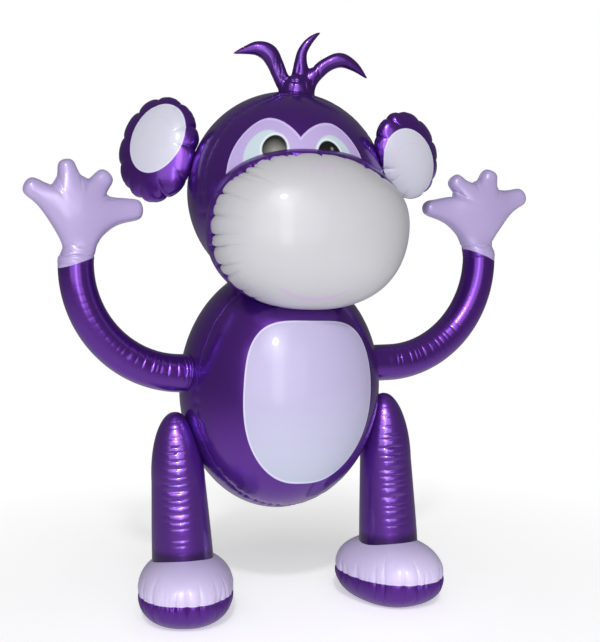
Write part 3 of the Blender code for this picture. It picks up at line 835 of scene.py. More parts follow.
def arm_film(side_name, side):
    """Purple film that turns lavender along a slanted line just below the wrist."""
    colours, _ = settings()
    sheet = new_film(f"{side_name} arm film", colours.purple, *PURPLE_FINISH)
    print_on(sheet, wrist_mask(sheet, side_name, side), colours.hand)
    return sheet.material


def store(mesh, name, values, kind="FLOAT"):
    """Keep a number or a vector on every vertex of the mesh."""
    held = mesh.attributes.new(name, kind, "POINT")
    held.data.foreach_set("value" if kind == "FLOAT" else "vector", np.asarray(values, np.float32).ravel())


def seamed_ball(name, halves, seam_depth, seed, spot, pleat_count):
    """A ball of a front and a back panel, drawn in a little where they are welded, most at the bottom."""
    _, relief = settings()
    around = turns(BALL_COLUMNS)
    seam = acos(seam_depth / halves[1])
    front = crowded(0.0, seam, BALL_FRONT_ROWS)[1:]
    rear = (pi - crowded(0.0, pi - seam, BALL_BACK_ROWS))[::-1][1:-1]
    grid = ball_points(halves, np.concatenate((front, rear))[:, None], around)
    away = distance_from_row(grid, len(front) - 1)
    marks = pleats(seed, pleat_count, width=0.0022, reach=0.012, depth=relief.pleat_depth, bend=0.02)
    low = np.clip(-np.sin(around), 0.0, 1.0)[None, :] ** 6
    depth = drawn_in(around[None, :], away, halves[0], marks) * (1.0 + 1.8 * low)
    depth += (0.0003 + 0.0008 * low) * fading(away, 0.0025)
    grid = grid - depth[..., None] * outward(grid)
    poles = np.array(((0.0, -halves[1], 0.0), (0.0, halves[1], 0.0)))
    return grid_mesh(name, moved(grid, spot), moved(poles, spot))


def make_body():
    """Torso and head, cut flat where they are welded at the neck."""
    _, relief = settings()
    torso = seamed_ball("torso_skin", TORSO_HALVES, TORSO_SEAM, relief.seed, TORSO_PLACE, TORSO_PLEATS)
    above = TORSO_PLACE @ lift(NECK_HEIGHT - TORSO_MIDDLE - HALF_GAP)
    add_skin("torso", torso, torso_film(), cut=above)
    head = seamed_ball("head_skin", HEAD_HALVES, HEAD_SEAM, relief.seed + 1, HEAD_PLACE, HEAD_PLEATS)
    below = HEAD_PLACE @ lift(NECK_HEIGHT - HEAD_MIDDLE + HALF_GAP) @ Matrix.Rotation(pi, 4, "X")
    add_skin("head", head, head_film(), cut=below)


def polar_where(around, halves, squareness, behind):
    """Polar angle, for each way round a ball, past which the points are behind what the test says."""
    low = np.full(around.shape, 0.15 * pi)
    high = np.full(around.shape, 0.95 * pi)
    for _ in range(30):
        middle = (low + high) / 2
        within = behind(ball_points(halves, middle[None, :], around, squareness)[0])
        high = np.where(within, middle, high)
        low = np.where(within, low, middle)
    return (low + high) / 2


def muzzle_seam(around):
    """How far ahead of the muzzle's middle its seam runs, for each way round."""
    rise = np.sin(around)
    top = 0.029 * np.clip(rise, 0.0, 1.0) ** 1.4
    bottom = 0.007 * np.clip(-rise, 0.0, 1.0) ** 2
    return 0.005 + top - bottom + 0.009 * bell(around - radians(50.0), radians(24.0))


def make_muzzle():
    """A rounded pad whose pale front is gathered onto its seam and whose back lies on the head."""
    _, relief = settings()
    around = turns(MUZZLE_COLUMNS)
    to_head = HEAD_PLACE.inverted() @ MUZZLE_PLACE
    seam_ahead = muzzle_seam(around)
    seam = polar_where(around, MUZZLE_HALVES, MUZZLE_SQUARENESS, lambda spot: -spot[:, 1] < seam_ahead)
    rim = polar_where(around, MUZZLE_HALVES, MUZZLE_SQUARENESS,
                      lambda spot: reach_in_ball(moved(spot, to_head), HEAD_HALVES) < CLEAR)
    rim = np.maximum(rim, seam + 0.03)
    share = crowded(0.0, 1.0, MUZZLE_FRONT_ROWS, 1.5)[1:, None]
    behind = between(seam, rim, np.linspace(0.0, 1.0, MUZZLE_SIDE_ROWS)[1:, None] ** 1.4)
    polar = np.concatenate((share * seam[None, :], behind))
    front = ball_points(MUZZLE_HALVES, polar, around, MUZZLE_SQUARENESS)
    away = distance_from_row(front, len(share) - 1)
    ahead = np.arange(len(polar))[:, None] < len(share)
    large = pleats(relief.seed + 2, 30, width=0.0020, reach=0.022, depth=relief.muzzle_pleat, bend=0.05)
    small = pleats(relief.seed + 20, 44, width=0.0012, reach=0.008, depth=relief.muzzle_pleat * 0.3)
    near_side = np.clip(-np.cos(around), 0.0, 1.0)[None, :]
    reach_scale = np.where(ahead, 0.45 + 1.75 * near_side ** 1.5, 0.35)
    depth = drawn_in(around[None, :], away, 0.092, np.concatenate((large, small)), reach_scale)
    depth *= 1.0 + 0.40 * near_side ** 2
    from_seam = np.where(ahead, away - 1.3 * depth, -away)
    depth += 0.0011 * fading(away, 0.003)
    upper_right = 0.0035 * bell(around - radians(50.0), radians(22.0)) * bell(away, 0.030)
    lower_right = 0.0030 * bell(wrapped(around - radians(-22.0)), radians(26.0)) * bell(away, 0.045)
    front = front - (depth + upper_right + lower_right)[..., None] * outward(front)
    rim_on_head = moved(front[-1], to_head) / HEAD_HALVES
    hub = rim_on_head.mean(axis=0)
    rear = between(hub, rim_on_head, np.linspace(1.0, 0.06, MUZZLE_BACK_ROWS)[:, None, None])
    rear = rear / np.linalg.norm(rear, axis=-1, keepdims=True) * HEAD_HALVES * CLEAR
    hub = hub / np.linalg.norm(hub) * HEAD_HALVES * CLEAR
    grid = np.concatenate((moved(front, MUZZLE_PLACE), moved(rear, HEAD_PLACE)))
    grid = pressed(grid, TORSO_PLACE, TORSO_HALVES)
    pole = moved(np.array((0.0, -MUZZLE_HALVES[1], 0.0)), MUZZLE_PLACE)
    mesh = grid_mesh("muzzle_skin", grid, (pole, moved(hub, HEAD_PLACE)))
    far_behind = -0.05
    held = np.concatenate((from_seam, np.full(rear.shape[:2], far_behind))).ravel()
    store(mesh, "from_seam", np.concatenate((held, (0.1, far_behind))))
    add_skin("muzzle", mesh, muzzle_film())
    bead_along("muzzle_weld", grid[len(share) - 1], 0.0007, purple_film(), "purple_film")


def make_ear(side_name, side):
    """A round pillow whose rim is drawn in by its gathers, pressed against the head."""
    _, relief = settings()
    around = turns(EAR_COLUMNS)
    front = crowded(0.0, pi / 2, EAR_ROWS)[1:]
    grid = ball_points(EAR_HALVES, np.concatenate((front, (pi - front)[::-1][1:]))[:, None], around)
    away = distance_from_row(grid, len(front) - 1)
    rng = np.random.default_rng(relief.seed + 3 + side)

    def draw(low, high):
        return rng.uniform(low, high, EAR_GATHERS)

    big = turns(EAR_GATHERS) + draw(-0.12, 0.12)
    gathers = np.stack((big, draw(0.0022, 0.0032), draw(0.016, 0.030), relief.gather_depth * draw(0.6, 1.2),
                        draw(-0.12, 0.12)), axis=1)
    small = pleats(relief.seed + 5 + side, 26, width=0.0014, reach=0.009, depth=relief.gather_depth * 0.22,
                   bend=0.05)
    nearest = np.abs(wrapped(around[:, None] - big[None, :])).min(axis=1)
    puff = 0.0014 * np.sin(np.clip(nearest * EAR_GATHERS / tau, 0.0, 0.5) * pi) ** 0.7
    depth = drawn_in(around[None, :], away, 0.048, np.concatenate((gathers, small)))
    depth += 0.0007 * fading(away, 0.002) - puff[None, :] * bell(away, 0.012)
    grid = grid - depth[..., None] * outward(grid)
    grid[..., 2] *= np.where(grid[..., 2] < 0.0, 0.94, 1.0)
    spot = ear_place(side_name, side) @ Matrix.Scale(EAR_SCALE[side_name], 4)
    poles = np.array(((0.0, -EAR_HALVES[1], 0.0), (0.0, EAR_HALVES[1], 0.0)))
    grid = pressed(moved(grid, spot), HEAD_PLACE, HEAD_HALVES)
    grid = pressed(grid, MUZZLE_PLACE, MUZZLE_HALVES, MUZZLE_SQUARENESS)
    poles = pressed(moved(poles, spot), HEAD_PLACE, HEAD_HALVES)
    mesh = grid_mesh(f"{side_name}_ear_skin", grid, poles)
    add_skin(f"{side_name}_ear", mesh, ear_film(side_name, side))


def smooth_path(stations, steps):
    """Points on a smooth curve through the stations, whose last number is a half width."""
    points = [Vector(s) for s in stations]
    points = [2 * points[0] - points[1]] + points + [2 * points[-1] - points[-2]]
    path = []
    for a, b, c, d in zip(points, points[1:], points[2:], points[3:]):
        for step in range(steps):
            t = step / steps
            path.append(0.5 * (2 * b + (c - a) * t + (2 * a - 5 * b + 4 * c - d) * t ** 2
                               + (3 * b - a - 3 * c + d) * t ** 3))
    path.append(points[-2])
    return path


def settle(thing):
    """Turn what the object's modifiers make into its plain mesh."""
    graph = bpy.context.evaluated_depsgraph_get()
    made = bpy.data.meshes.new_from_object(thing.evaluated_get(graph))
    thing.modifiers.clear()
    old = thing.data
    thing.data = made
    bpy.data.meshes.remove(old)
    return thing


def tuft_cage():
    """The three locks and their neck as overlapping flattened tubes."""
    verts = []
    faces = []
    for stations in TUFT_LOCKS:
        path = smooth_path(stations, 8)
        start = len(verts)
        for index, (x, z, width) in enumerate(path):
            before = path[max(index - 1, 0)]
            after = path[min(index + 1, len(path) - 1)]
            way = Vector((after[0] - before[0], after[1] - before[1])).normalized()
            for angle in turns(TUFT_SIDES):
                side = cos(angle) * width
                verts.append((x - way.y * side, sin(angle) * width * TUFT_FLATNESS, z + way.x * side))
        for ring in range(len(path) - 1):
            for turn in range(TUFT_SIDES):
                a = start + ring * TUFT_SIDES + turn
                b = start + ring * TUFT_SIDES + (turn + 1) % TUFT_SIDES
                faces.append((a, b, b + TUFT_SIDES, a + TUFT_SIDES))
        for end in (start, len(verts) - TUFT_SIDES):
            faces.append(tuple(range(end, end + TUFT_SIDES)))
    mesh = bpy.data.meshes.new("tuft_skin")
    mesh.from_pydata(verts, [], faces)
    finish_mesh(mesh)
    return mesh


def make_tuft():
    """Three pointed locks on one neck, blown up as one pouch between two flat panels."""
    tuft = new_piece("tuft_skin", tuft_cage())
    merge = tuft.modifiers.new("merge", "REMESH")
    merge.mode = "VOXEL"
    merge.voxel_size = TUFT_VOXEL
    relax = tuft.modifiers.new("relax", "SMOOTH")
    relax.factor = 0.5
    relax.iterations = 5
    settle(tuft)
    mesh = tuft.data
    points = read_vectors(mesh.vertices, "co")
    x, y, z = points.T
    rng = np.random.default_rng(settings()[1].seed + 9)
    depth = 0.0008 * fading(y, 0.0014)
    for _ in range(26):
        spot = (rng.uniform(-0.014, 0.034), rng.uniform(0.0, 0.030))
        off = x - spot[0] - 0.25 * (z - spot[1]) * rng.uniform(-1, 1)
        depth += 0.0007 * bell(z - spot[1], 0.006) * fading(off, 0.0012)
    fold = z - 0.0098 - 22.0 * (x - 0.0085) ** 2
    on_neck = np.exp(-((x - 0.0060) / 0.0135) ** 4) * (y < 0.0)
    depth += 0.0022 * on_neck * fading(fold, 0.0014)
    points = moved(points - depth[:, None] * read_vectors(mesh.vertex_normals, "vector"), TUFT_PLACE)
    write_points(mesh, pressed(points, HEAD_PLACE, HEAD_HALVES))
    mesh.shade_smooth()
    # Painted shade: the tuft's film is the body's purple made darker, as the flat locks show little light
    tuft_film_painted_darker = plain_film("tuft film", shaded(settings()[0].purple, 0.65), 0.28, 0.75, 0.40)
    dressed(tuft, ["hair_tuft"], tuft_film_painted_darker)


class Tree(Nodes):
    """A geometry node tree that ends in real geometry of one film, with named inputs for its sizes."""

    def __init__(self, name, inputs):
        super().__init__(bpy.data.node_groups.new(name, "GeometryNodeTree"))
        sockets = [("Geometry", "OUTPUT", "Geometry"), ("Geometry", "INPUT", "Geometry")]
        sockets += [(label, "INPUT", kind) for label, kind in inputs] + [("Film", "INPUT", "Material")]
        for label, way, kind in sockets:
            self.tree.interface.new_socket(label, in_out=way, socket_type=f"NodeSocket{kind}")
        self.inputs = self.node("NodeGroupInput").outputs

    def given(self, label):
        return Term(self, self.inputs[label])

    def named(self, name, kind):
        """What the guide's points hold under a name."""
        held = self.node("GeometryNodeInputNamedAttribute", {"data_type": kind}, {"Name": name})
        return held.outputs["Attribute"]

    def noise(self, spot, seed):
        """Smooth noise about zero along a line, another line for each seed."""
        where = self.node("ShaderNodeCombineXYZ", None, {0: spot, 1: seed * 7.3})
        return self.number("ShaderNodeTexNoise", {"noise_dimensions": "2D"}, {
            "Vector": where.outputs[0], "Scale": 1.0, "Detail": 1.0}) - 0.5

    def even_guide(self):
        """The guide as a curve of even steps."""
        curve = self.node("GeometryNodeMeshToCurve", None, {"Mesh": self.inputs["Geometry"]})
        return self.node("GeometryNodeResampleCurve", {"mode": "LENGTH"}, {
            "Curve": curve.outputs[0], "Length": self.inputs["Step"]}).outputs[0]

    def swept(self, curve, sides, radius):
        """A closed tube along a curve."""
        circle = self.node("GeometryNodeCurvePrimitiveCircle", {"mode": "RADIUS"}, {
            "Resolution": sides, "Radius": 1.0})
        tube = self.node("GeometryNodeCurveToMesh", None, {
            "Curve": curve, "Profile Curve": circle.outputs[0], "Scale": radius, "Fill Caps": True})
        return tube.outputs[0]

    def end(self, geometry):
        """Make instances real, set the film and hand the geometry out."""
        real = self.node("GeometryNodeRealizeInstances", None, {"Geometry": geometry})
        filmed = self.node("GeometryNodeSetMaterial", None, {
            "Geometry": real.outputs[0], "Material": self.inputs["Film"]})
        self.node("NodeGroupOutput", None, {0: filmed.outputs[0]})
        return self.tree


def run_tree(tree, thing, **values):
    """Run a geometry node tree on an object and leave the plain mesh that it makes."""
    step = thing.modifiers.new(tree.name, "NODES")
    step.node_group = tree
    for item in tree.interface.items_tree:
        if item.item_type == "SOCKET" and item.in_out == "INPUT" and item.name in values:
            step[item.identifier] = values[item.name]
    return settle(thing)


def make_tube_tree():
    """A film tube along the guide, with wrinkles across the seam whose way out the guide holds."""
    tree = Tree("welded tube", (("Sides", "Int"), ("Step", "Float"), ("Depth", "Float"), ("Wrinkle", "Float"),
                                ("Spread", "Float"), ("Seed", "Float")))
    held = tree.node("GeometryNodeCaptureAttribute", {"domain": "POINT"}, {"Geometry": tree.even_guide()})
    for kind, label, source in (
            ("FLOAT", "Along", tree.node("GeometryNodeSplineParameter").outputs["Length"]),
            ("FLOAT", "Width", tree.named("half_width", "FLOAT")),
            ("FLOAT", "Slack", tree.named("slack", "FLOAT")),
            ("VECTOR", "Seam", tree.named("seam_way", "FLOAT_VECTOR"))):
        held.capture_items.new(kind, label)
        tree.tree.links.new(source, held.inputs[label])
    along, width, slack = (Term(tree, held.outputs[label]) for label in ("Along", "Width", "Slack"))
    tube = tree.swept(held.outputs["Geometry"], tree.inputs["Sides"], width)
    normal = tree.node("GeometryNodeInputNormal").outputs[0]
    facing = tree.number("ShaderNodeVectorMath", {"operation": "DOT_PRODUCT"}, {
        0: normal, 1: held.outputs["Seam"]}, "Value")
    off = facing.apply("ARCCOSINE", abs(facing).least(1.0)) * width / tree.given("Spread")
    run = along / tree.given("Wrinkle")
    seed = tree.given("Seed")
    phase = (run + tree.noise(run * 0.7, seed) * 1.5) * pi
    strength = tree.noise(run * 0.9 + 31.0, seed) + 0.5
    valley = (1.0 - abs(phase.apply("SINE", phase))) ** (2.1 + off * 1.2)
    fade = off.apply("EXPONENT", 0.0 - off * off)
    front = 0.35 + 0.65 * facing.above(0.0)
    depth = valley * fade * front * slack * (strength * 1.1 + 0.45) * tree.given("Depth")
    inward = tree.node("ShaderNodeVectorMath", {"operation": "SCALE"}, {0: normal, "Scale": -1.0 * depth})
    drawn = tree.node("GeometryNodeSetPosition", None, {"Geometry": tube, "Offset": inward.outputs[0]})
    return tree.end(drawn.outputs[0])


def line_piece(name, points, closed=False):
    """A piece of edges only, for a tree to run along."""
    count = len(points)
    edges = [(i, (i + 1) % count) for i in range(count if closed else count - 1)]
    mesh = bpy.data.meshes.new(name)
    mesh.from_pydata([tuple(point) for point in points], edges, [])
    return new_piece(name, mesh)


def make_tube(tree, node_name, path, **values):
    """A tube along a path, whose entries are a point, the half width, the slack and the seam's way out."""
    _, relief = settings()
    points, widths, slacks, seams = zip(*path)
    tube = line_piece(f"{node_name}_skin", points)
    store(tube.data, "half_width", widths)
    store(tube.data, "slack", slacks)
    store(tube.data, "seam_way", seams, "FLOAT_VECTOR")
    return run_tree(tree, tube, Step=TUBE_STEP, Depth=relief.wrinkle_depth, Wrinkle=relief.wrinkle_step,
                    **values)


def fit_end(thing, end, way, matrix, halves, squareness, fade):
    """Close a tube's flat end with rings and lay it, and the film near it, on a ball of the figure."""
    bm = bmesh.new()
    bm.from_mesh(thing.data)
    caps = [face for face in bm.faces if len(face.verts) > 4]
    cap = min(caps, key=lambda face: (face.calc_center_median() - end).length)
    width = max((vert.co - end).length for vert in cap.verts)
    for _ in range(4):
        bmesh.ops.inset_region(bm, faces=[cap], thickness=width * 0.2, use_even_offset=False)
    bmesh.ops.poke(bm, faces=[cap])
    bm.to_mesh(thing.data)
    bm.free()
    points = read_vectors(thing.data.vertices, "co")
    way = np.array(way)
    beyond = (points - np.array(end)) @ way
    flat = points - beyond[:, None] * way
    low = np.full(len(points), -0.06)
    high = np.full(len(points), 0.06)
    inverse = matrix.inverted()
    for _ in range(26):
        middle = (low + high) / 2
        spot = moved(flat + middle[:, None] * way, inverse)
        within = reach_in_ball(spot, halves, squareness) < END_CLEAR
        low = np.where(within, middle, low)
        high = np.where(within, high, middle)
    share = np.clip(1 - beyond / fade, 0.0, 1.0) ** 1.5
    write_points(thing.data, points + (share * (low + high) / 2)[:, None] * way)


def make_arm(tree, side_name, side):
    """Level out of the torso, then up through a quarter circle, thinning to the wrist."""
    _, relief = settings()
    shoulder = torso_half_width(ARM_HEIGHT[side_name])
    level = TORSO_BOTTOM + ARM_HEIGHT[side_name]
    elbow = ARM_REACH[side_name] - ARM_BEND
    turn = SHIFT @ Matrix.Rotation(TORSO_TURN, 4, "Z")
    path = []
    for share in np.linspace(0.0, 1.0, ARM_STEPS + 1):
        angle = share * pi / 2
        x = elbow + ARM_BEND * sin(angle)
        if x < shoulder + 0.001:
            continue
        point = Vector((side * x, 0.0, level + ARM_BEND * (1 - cos(angle))))
        slack = ARM_SLACK[side_name] * max(0.12, 1.0 - 1.6 * share) * min(1.0, (1 - share) * 8.0)
        seam = Vector((-side * sin(angle) * 0.35, -1.0, cos(angle) * 0.35)).normalized()
        path.append([point, between(ARM_DIAMETER, WRIST_DIAMETER, share) / 2, slack, seam])
    start = Vector((side * shoulder, 0.0, level))
    path.insert(0, [start, ARM_DIAMETER / 2, 0.1, path[0][3]])
    path[-1][0].z += ARM_LIFT - TUBE_POINT
    path = [(turn @ point, half, slack, turn.to_3x3() @ seam) for point, half, slack, seam in path]
    arm = make_tube(tree, f"{side_name}_arm", path, Sides=ARM_SIDES, Spread=0.011,
                    Seed=float(relief.seed + side), Film=arm_film(side_name, side))
    way = turn.to_3x3() @ Vector((side, 0.0, 0.0))
    fit_end(arm, turn @ start, way, TORSO_PLACE, TORSO_HALVES, 2.0, 0.014)
    finish_mesh(arm.data)
    dressed(arm, [f"{side_name}_arm"], arm.data.materials[0])


def make_leg(tree, side_name, side):
    """A tube rounded at the top and widening to the ankle, pressed against torso and foot."""
    _, relief = settings()
    top, ankle = leg_axis(side_name, side)
    whole = (top - ankle).length
    way = (top - ankle).normalized()
    turn = LEG_SEAM_TURN[side_name]
    seam = Vector((sin(turn), -cos(turn), 0.0))
    hip = whole - LEG_NOSE
    foot_top = FOOT_INSTEP / 2 + 0.0005
    nose = np.linspace(0.0, pi / 2, NOSE_STEPS + 1)
    shank = np.linspace(0.0, 1.0, SHANK_STEPS + 1)[1:]
    outline = [(whole - LEG_NOSE * (1 - cos(angle)), THIGH_DIAMETER / 2 * sin(angle)) for angle in nose]
    outline += [(between(hip, foot_top, share), between(THIGH_DIAMETER, ANKLE_DIAMETER, share) / 2)
                for share in shank]
    path = []
    for height, radius in outline:
        share = height / whole
        slack = min(1.0, (1 - share) * 5.0) * min(1.0, max(0.06, (share - 0.14) * 4.0))
        path.append((SHIFT @ (ankle + way * height), max(radius, TUBE_POINT), slack, seam))
    leg = make_tube(tree, f"{side_name}_leg", path, Sides=LEG_SIDES, Spread=0.0100,
                    Seed=float(relief.seed + 4 + side), Film=leg_film())
    foot = foot_place(side_name, side)
    fit_end(leg, path[-1][0], way, foot, INSTEP_HALVES, UPPER_SQUARENESS, 0.030)
    finish_mesh(leg.data)
    write_points(leg.data, pressed(read_vectors(leg.data.vertices, "co"), TORSO_PLACE, TORSO_HALVES))
    dressed(leg, [f"{side_name}_leg"], leg.data.materials[0])


def draw_out(bm, face, middle, wide, thick):
    """Extrude one side face and set its new corners about a middle; returns the new end face."""
    made = bmesh.ops.extrude_discrete_faces(bm, faces=[face])["faces"][0]
    old_middle = made.calc_center_median()
    for vert in made.verts:
        off = vert.co - old_middle
        across = 1.0 if off.dot(wide) > 0.0 else -1.0
        deep = 1.0 if off.dot(thick) > 0.0 else -1.0
        vert.co = middle + across * wide + deep * thick
    return made


def hand_cage(side_name, side):
    """A coarse closed cage of a hand in XZ, its wrist's cut face at the origin."""
    bm = bmesh.new()
    corners = []
    spread = DIGIT_ROOT_SPREAD[side_name]
    for angle, _, _, root in DIGITS[side_name]:
        corners += [(angle - spread, root), (angle + spread, root)]
    corners += [(angle, PALM_SIDE[side_name]) for angle in PALM_HEEL[side_name]]
    edge = PALM_EDGE_SHARE * PALM_THICKNESS
    crown = PALM_CROWN_SHARE * PALM_THICKNESS
    middle = Vector((0.0, 0.0, PALM_RISE))

    def at(angle, radius, thickness):
        return middle + Vector((side * radius * cos(angle), thickness, radius * sin(angle)))

    front = [bm.verts.new(at(a, r, -edge)) for a, r in corners]
    back = [bm.verts.new(at(a, r, edge)) for a, r in corners]
    front_middle = bm.verts.new(middle + Vector((0.0, -crown, 0.0)))
    back_middle = bm.verts.new(middle + Vector((0.0, crown, 0.0)))
    count = len(corners)
    sides = []
    for i in range(count):
        j = (i + 1) % count
        bm.faces.new((front_middle, front[i], front[j]))
        bm.faces.new((back_middle, back[j], back[i]))
        sides.append(bm.faces.new((front[i], back[i], back[j], front[j])))
    for index, (angle, length, half, _) in enumerate(DIGITS[side_name]):
        along = Vector((side * cos(angle), 0.0, sin(angle)))
        across = Vector((-side * sin(angle), 0.0, cos(angle)))
        face = sides[2 * index]
        for reach, share in ((length - FINGERTIP_ROUND, 1.0), (length, FINGERTIP_SHARE)):
            face = draw_out(bm, face, middle + reach * along, across * half * share,
                            Vector((0.0, FINGER_THICKNESS / 2 * share, 0.0)))
    wrist = sides[count - 2]
    cuff = WRIST_SHARE * WRIST_DIAMETER / 2
    for height in (WRIST_CUFF, 0.0):
        wrist = draw_out(bm, wrist, Vector((0.0, 0.0, height)), Vector((side * cuff, 0.0, 0.0)),
                         Vector((0.0, cuff, 0.0)))
    crease = bm.edges.layers.float.new("crease_edge")
    for line in wrist.edges:
        line[crease] = 1.0
    bmesh.ops.recalc_face_normals(bm, faces=bm.faces[:])
    return bm


def web_creases(rng, side_name, side, flat):
    """Short sharp folds that run into the palm from where two digits part."""
    depth = np.zeros(len(flat))
    digits = DIGITS[side_name]
    for first, second in zip(digits, digits[1:]):
        web = (first[0] + second[0]) / 2
        for _ in range(4):
            turn = web + rng.uniform(-0.20, 0.20)
            start = np.array((side * cos(turn), sin(turn))) * WEB_REACH + np.array((0.0, PALM_RISE))
            way = np.array((-side * cos(turn), -sin(turn))) + rng.uniform(-0.3, 0.3, 2)
            way /= np.linalg.norm(way)
            off = flat - start
            aside = off @ np.array((-way[1], way[0]))
            fade = np.clip(1 - np.abs(off @ way) / rng.uniform(0.010, 0.021), 0.0, 1.0)
            depth += rng.uniform(0.0006, 0.0013) * fade * fading(aside, 0.0013)
    return depth


def wrist_folds(rng, points):
    """Wavy folds that run round the wrist just above the weld."""
    x, _, z = points.T
    depth = np.zeros(len(points))
    for _ in range(8):
        height = rng.uniform(0.003, 0.020)
        slope = rng.uniform(-0.30, 0.30)
        middle = rng.uniform(-0.016, 0.016)
        reach = rng.uniform(0.008, 0.018)
        wave = 0.0010 * np.sin(x / 0.004 + height * 900.0)
        fold = fading(z - height - slope * x - wave, 0.0012)
        depth += rng.uniform(0.0006, 0.0012) * bell(x - middle, reach) * fold
    return depth


def make_hand(side_name, side):
    """A flat pillow with three fingers and a thumb, creased where they part and at the wrist."""
    _, relief = settings()
    mesh = bpy.data.meshes.new(f"{side_name}_hand_skin")
    bm = hand_cage(side_name, side)
    bm.to_mesh(mesh)
    bm.free()
    hand = new_piece(mesh.name, mesh)
    inflate = hand.modifiers.new("inflate", "SUBSURF")
    inflate.levels = HAND_LEVELS
    inflate.render_levels = HAND_LEVELS
    mesh = settle(hand).data
    points = read_vectors(mesh.vertices, "co")
    rng = np.random.default_rng(relief.seed + 11 + side)
    depth = web_creases(rng, side_name, side, points[:, (0, 2)]) + wrist_folds(rng, points)
    cuff = np.clip(points[:, 2] / 0.003, 0.0, 1.0)
    points = points - (depth * cuff)[:, None] * read_vectors(mesh.vertex_normals, "vector")
    round_off = np.clip(1 - points[:, 2] / 0.012, 0.0, 1.0)[:, None] ** 2
    across = points[:, (0, 1)]
    radius = np.linalg.norm(across, axis=1, keepdims=True) + 1e-9
    rim = radius.max(where=points[:, 2:] < 1e-5, initial=0.0)
    circle = across * (WRIST_DIAMETER / 2 / np.maximum(radius, 1e-6)) * np.minimum(radius / rim * 1.12, 1.0)
    points[:, (0, 1)] = between(across, circle, round_off)
    write_points(mesh, moved(points, wrist_place(side_name, side)))
    finish_mesh(mesh)
    dressed(hand, [f"{side_name}_hand"], hand_film(side_name, side))


def hand_film(side_name, side):
    """Lavender film with the purple of the arm below its slanted edge, made once for each hand."""
    found = bpy.data.materials.get(f"{side_name} hand film")
    if found:
        return found
    colours, _ = settings()
    metallic = 0.10
    sheet = new_film(f"{side_name} hand film", colours.hand, 0.30, metallic, 0.35)
    purple = 1.0 - wrist_mask(sheet, side_name, side)
    sheet.feed("Base Color", sheet.mix(purple, sheet.base, colours.purple))
    sheet.feed("Metallic", between(metallic, PURPLE_FINISH[1], purple))
    return sheet.material


def foot_film():
    """The pale film of the feet."""
    return plain_film("foot film", settings()[0].foot, 0.34, 0.05, 0.2)


def sole_film():
    """The purple film of the soles, duller than the body's and painted darker as shade on the underside."""
    # Painted shade: the body's purple made darker for the soles, which face the floor
    return plain_film("sole film", shaded(settings()[0].purple, 0.8), 0.36, 0.55, 0.15)


def foot_panel(around, marks, bulge, sign, squareness):
    """One panel of the foot, from its pole at the top or bottom to the level seam."""
    down = crowded(0.0, pi / 2, FOOT_ROWS)[1:]
    sideways = np.sin(down)[:, None]
    unit = np.stack(np.broadcast_arrays(sideways * np.cos(around), sideways * np.sin(around),
                                        sign * np.cos(down)[:, None]), axis=-1)
    halves = np.array((FOOT_WIDTH / 2, FOOT_LENGTH / 2, bulge))
    grid = unit / reach_in_ball(unit, 1.0, squareness)[..., None] * halves
    away = distance_from_row(grid, len(down) - 1)
    depth = drawn_in(around[None, :], away, 0.055, marks, 1.5) * (1.7 if sign < 0 else 1.0)
    depth += 0.0009 * fading(away, 0.0025)
    grid = grid - depth[..., None] * outward(grid)
    grid[-1, :, 2] = sign * HALF_GAP
    grid[..., 2] = np.maximum(grid[..., 2], -FOOT_SEAM_HEIGHT)
    poles = np.array(((0.0, 0.0, max(sign * bulge, -FOOT_SEAM_HEIGHT)), (0.0, 0.0, sign * HALF_GAP)))
    return grid, poles


def make_foot(side_name, side):
    """A pale upper and a purple sole, both gathered onto the level seam between them."""
    _, relief = settings()
    around = turns(FOOT_COLUMNS)
    spot = foot_place(side_name, side)
    large = pleats(relief.seed + 13 + side, 24, width=0.0026, reach=0.017, depth=relief.pleat_depth * 2.2,
                   bend=0.05)
    small = pleats(relief.seed + 15 + side, 34, width=0.0014, reach=0.007, depth=relief.pleat_depth)
    marks = np.concatenate((large, small))
    for name, bulge, sign, squareness, film, slot in (
            ("foot", FOOT_INSTEP, 1.0, UPPER_SQUARENESS, foot_film(), "pale_film"),
            ("sole", SOLE_BULGE, -1.0, FOOT_SQUARENESS, sole_film(), "purple_film")):
        grid, poles = foot_panel(around, marks, bulge, sign, squareness)
        mesh = grid_mesh(f"{side_name}_{name}_skin", moved(grid, spot), moved(poles, spot))
        add_skin(f"{side_name}_{name}", mesh, film)
        if name == "foot":
            rim = moved(grid[-1], spot)
            bead_along(f"{side_name}_foot_weld", rim, relief.weld_radius * 1.6, film, slot)


def make_valve():
    """The guessed stopper on the back keeps its CAD shape and gets a clear vinyl finish."""
    sheet = Sheet("valve vinyl", roughness=0.22, ior=1.5, coat_weight=0.3, coat_roughness=0.08)
    haze = sheet.noise(160.0, 3.0)
    sheet.feed("Base Color", sheet.mix(haze, (0.62, 0.63, 0.68), (0.80, 0.81, 0.85)))
    sheet.bump(haze, 0.2, 0.0003)
    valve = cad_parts["inflation_valve"]
    valve.data.materials.clear()
    valve.data.materials.append(sheet.material)
    for slot in valve.material_slots:
        slot.material = sheet.material


def weld_tree():
    """A thin bead along the guide, for the edge where two panels are welded; made once."""
    found = bpy.data.node_groups.get("weld bead")
    if found:
        return found
    tree = Tree("weld bead", (("Radius", "Float"), ("Step", "Float")))
    return tree.end(tree.swept(tree.even_guide(), BEAD_SIDES, tree.inputs["Radius"]))


def make_bead(line, radius, film):
    """Turn a piece of edges into a welded edge."""
    run_tree(weld_tree(), line, Radius=radius, Step=BEAD_STEP, Film=film)
    finish_mesh(line.data)
    return dressed(line, [], film)


def bead_along(name, ring, radius, film, slot):
    """A welded edge along a closed ring of points."""
    return make_bead(line_piece(name, ring, closed=True), radius, film)


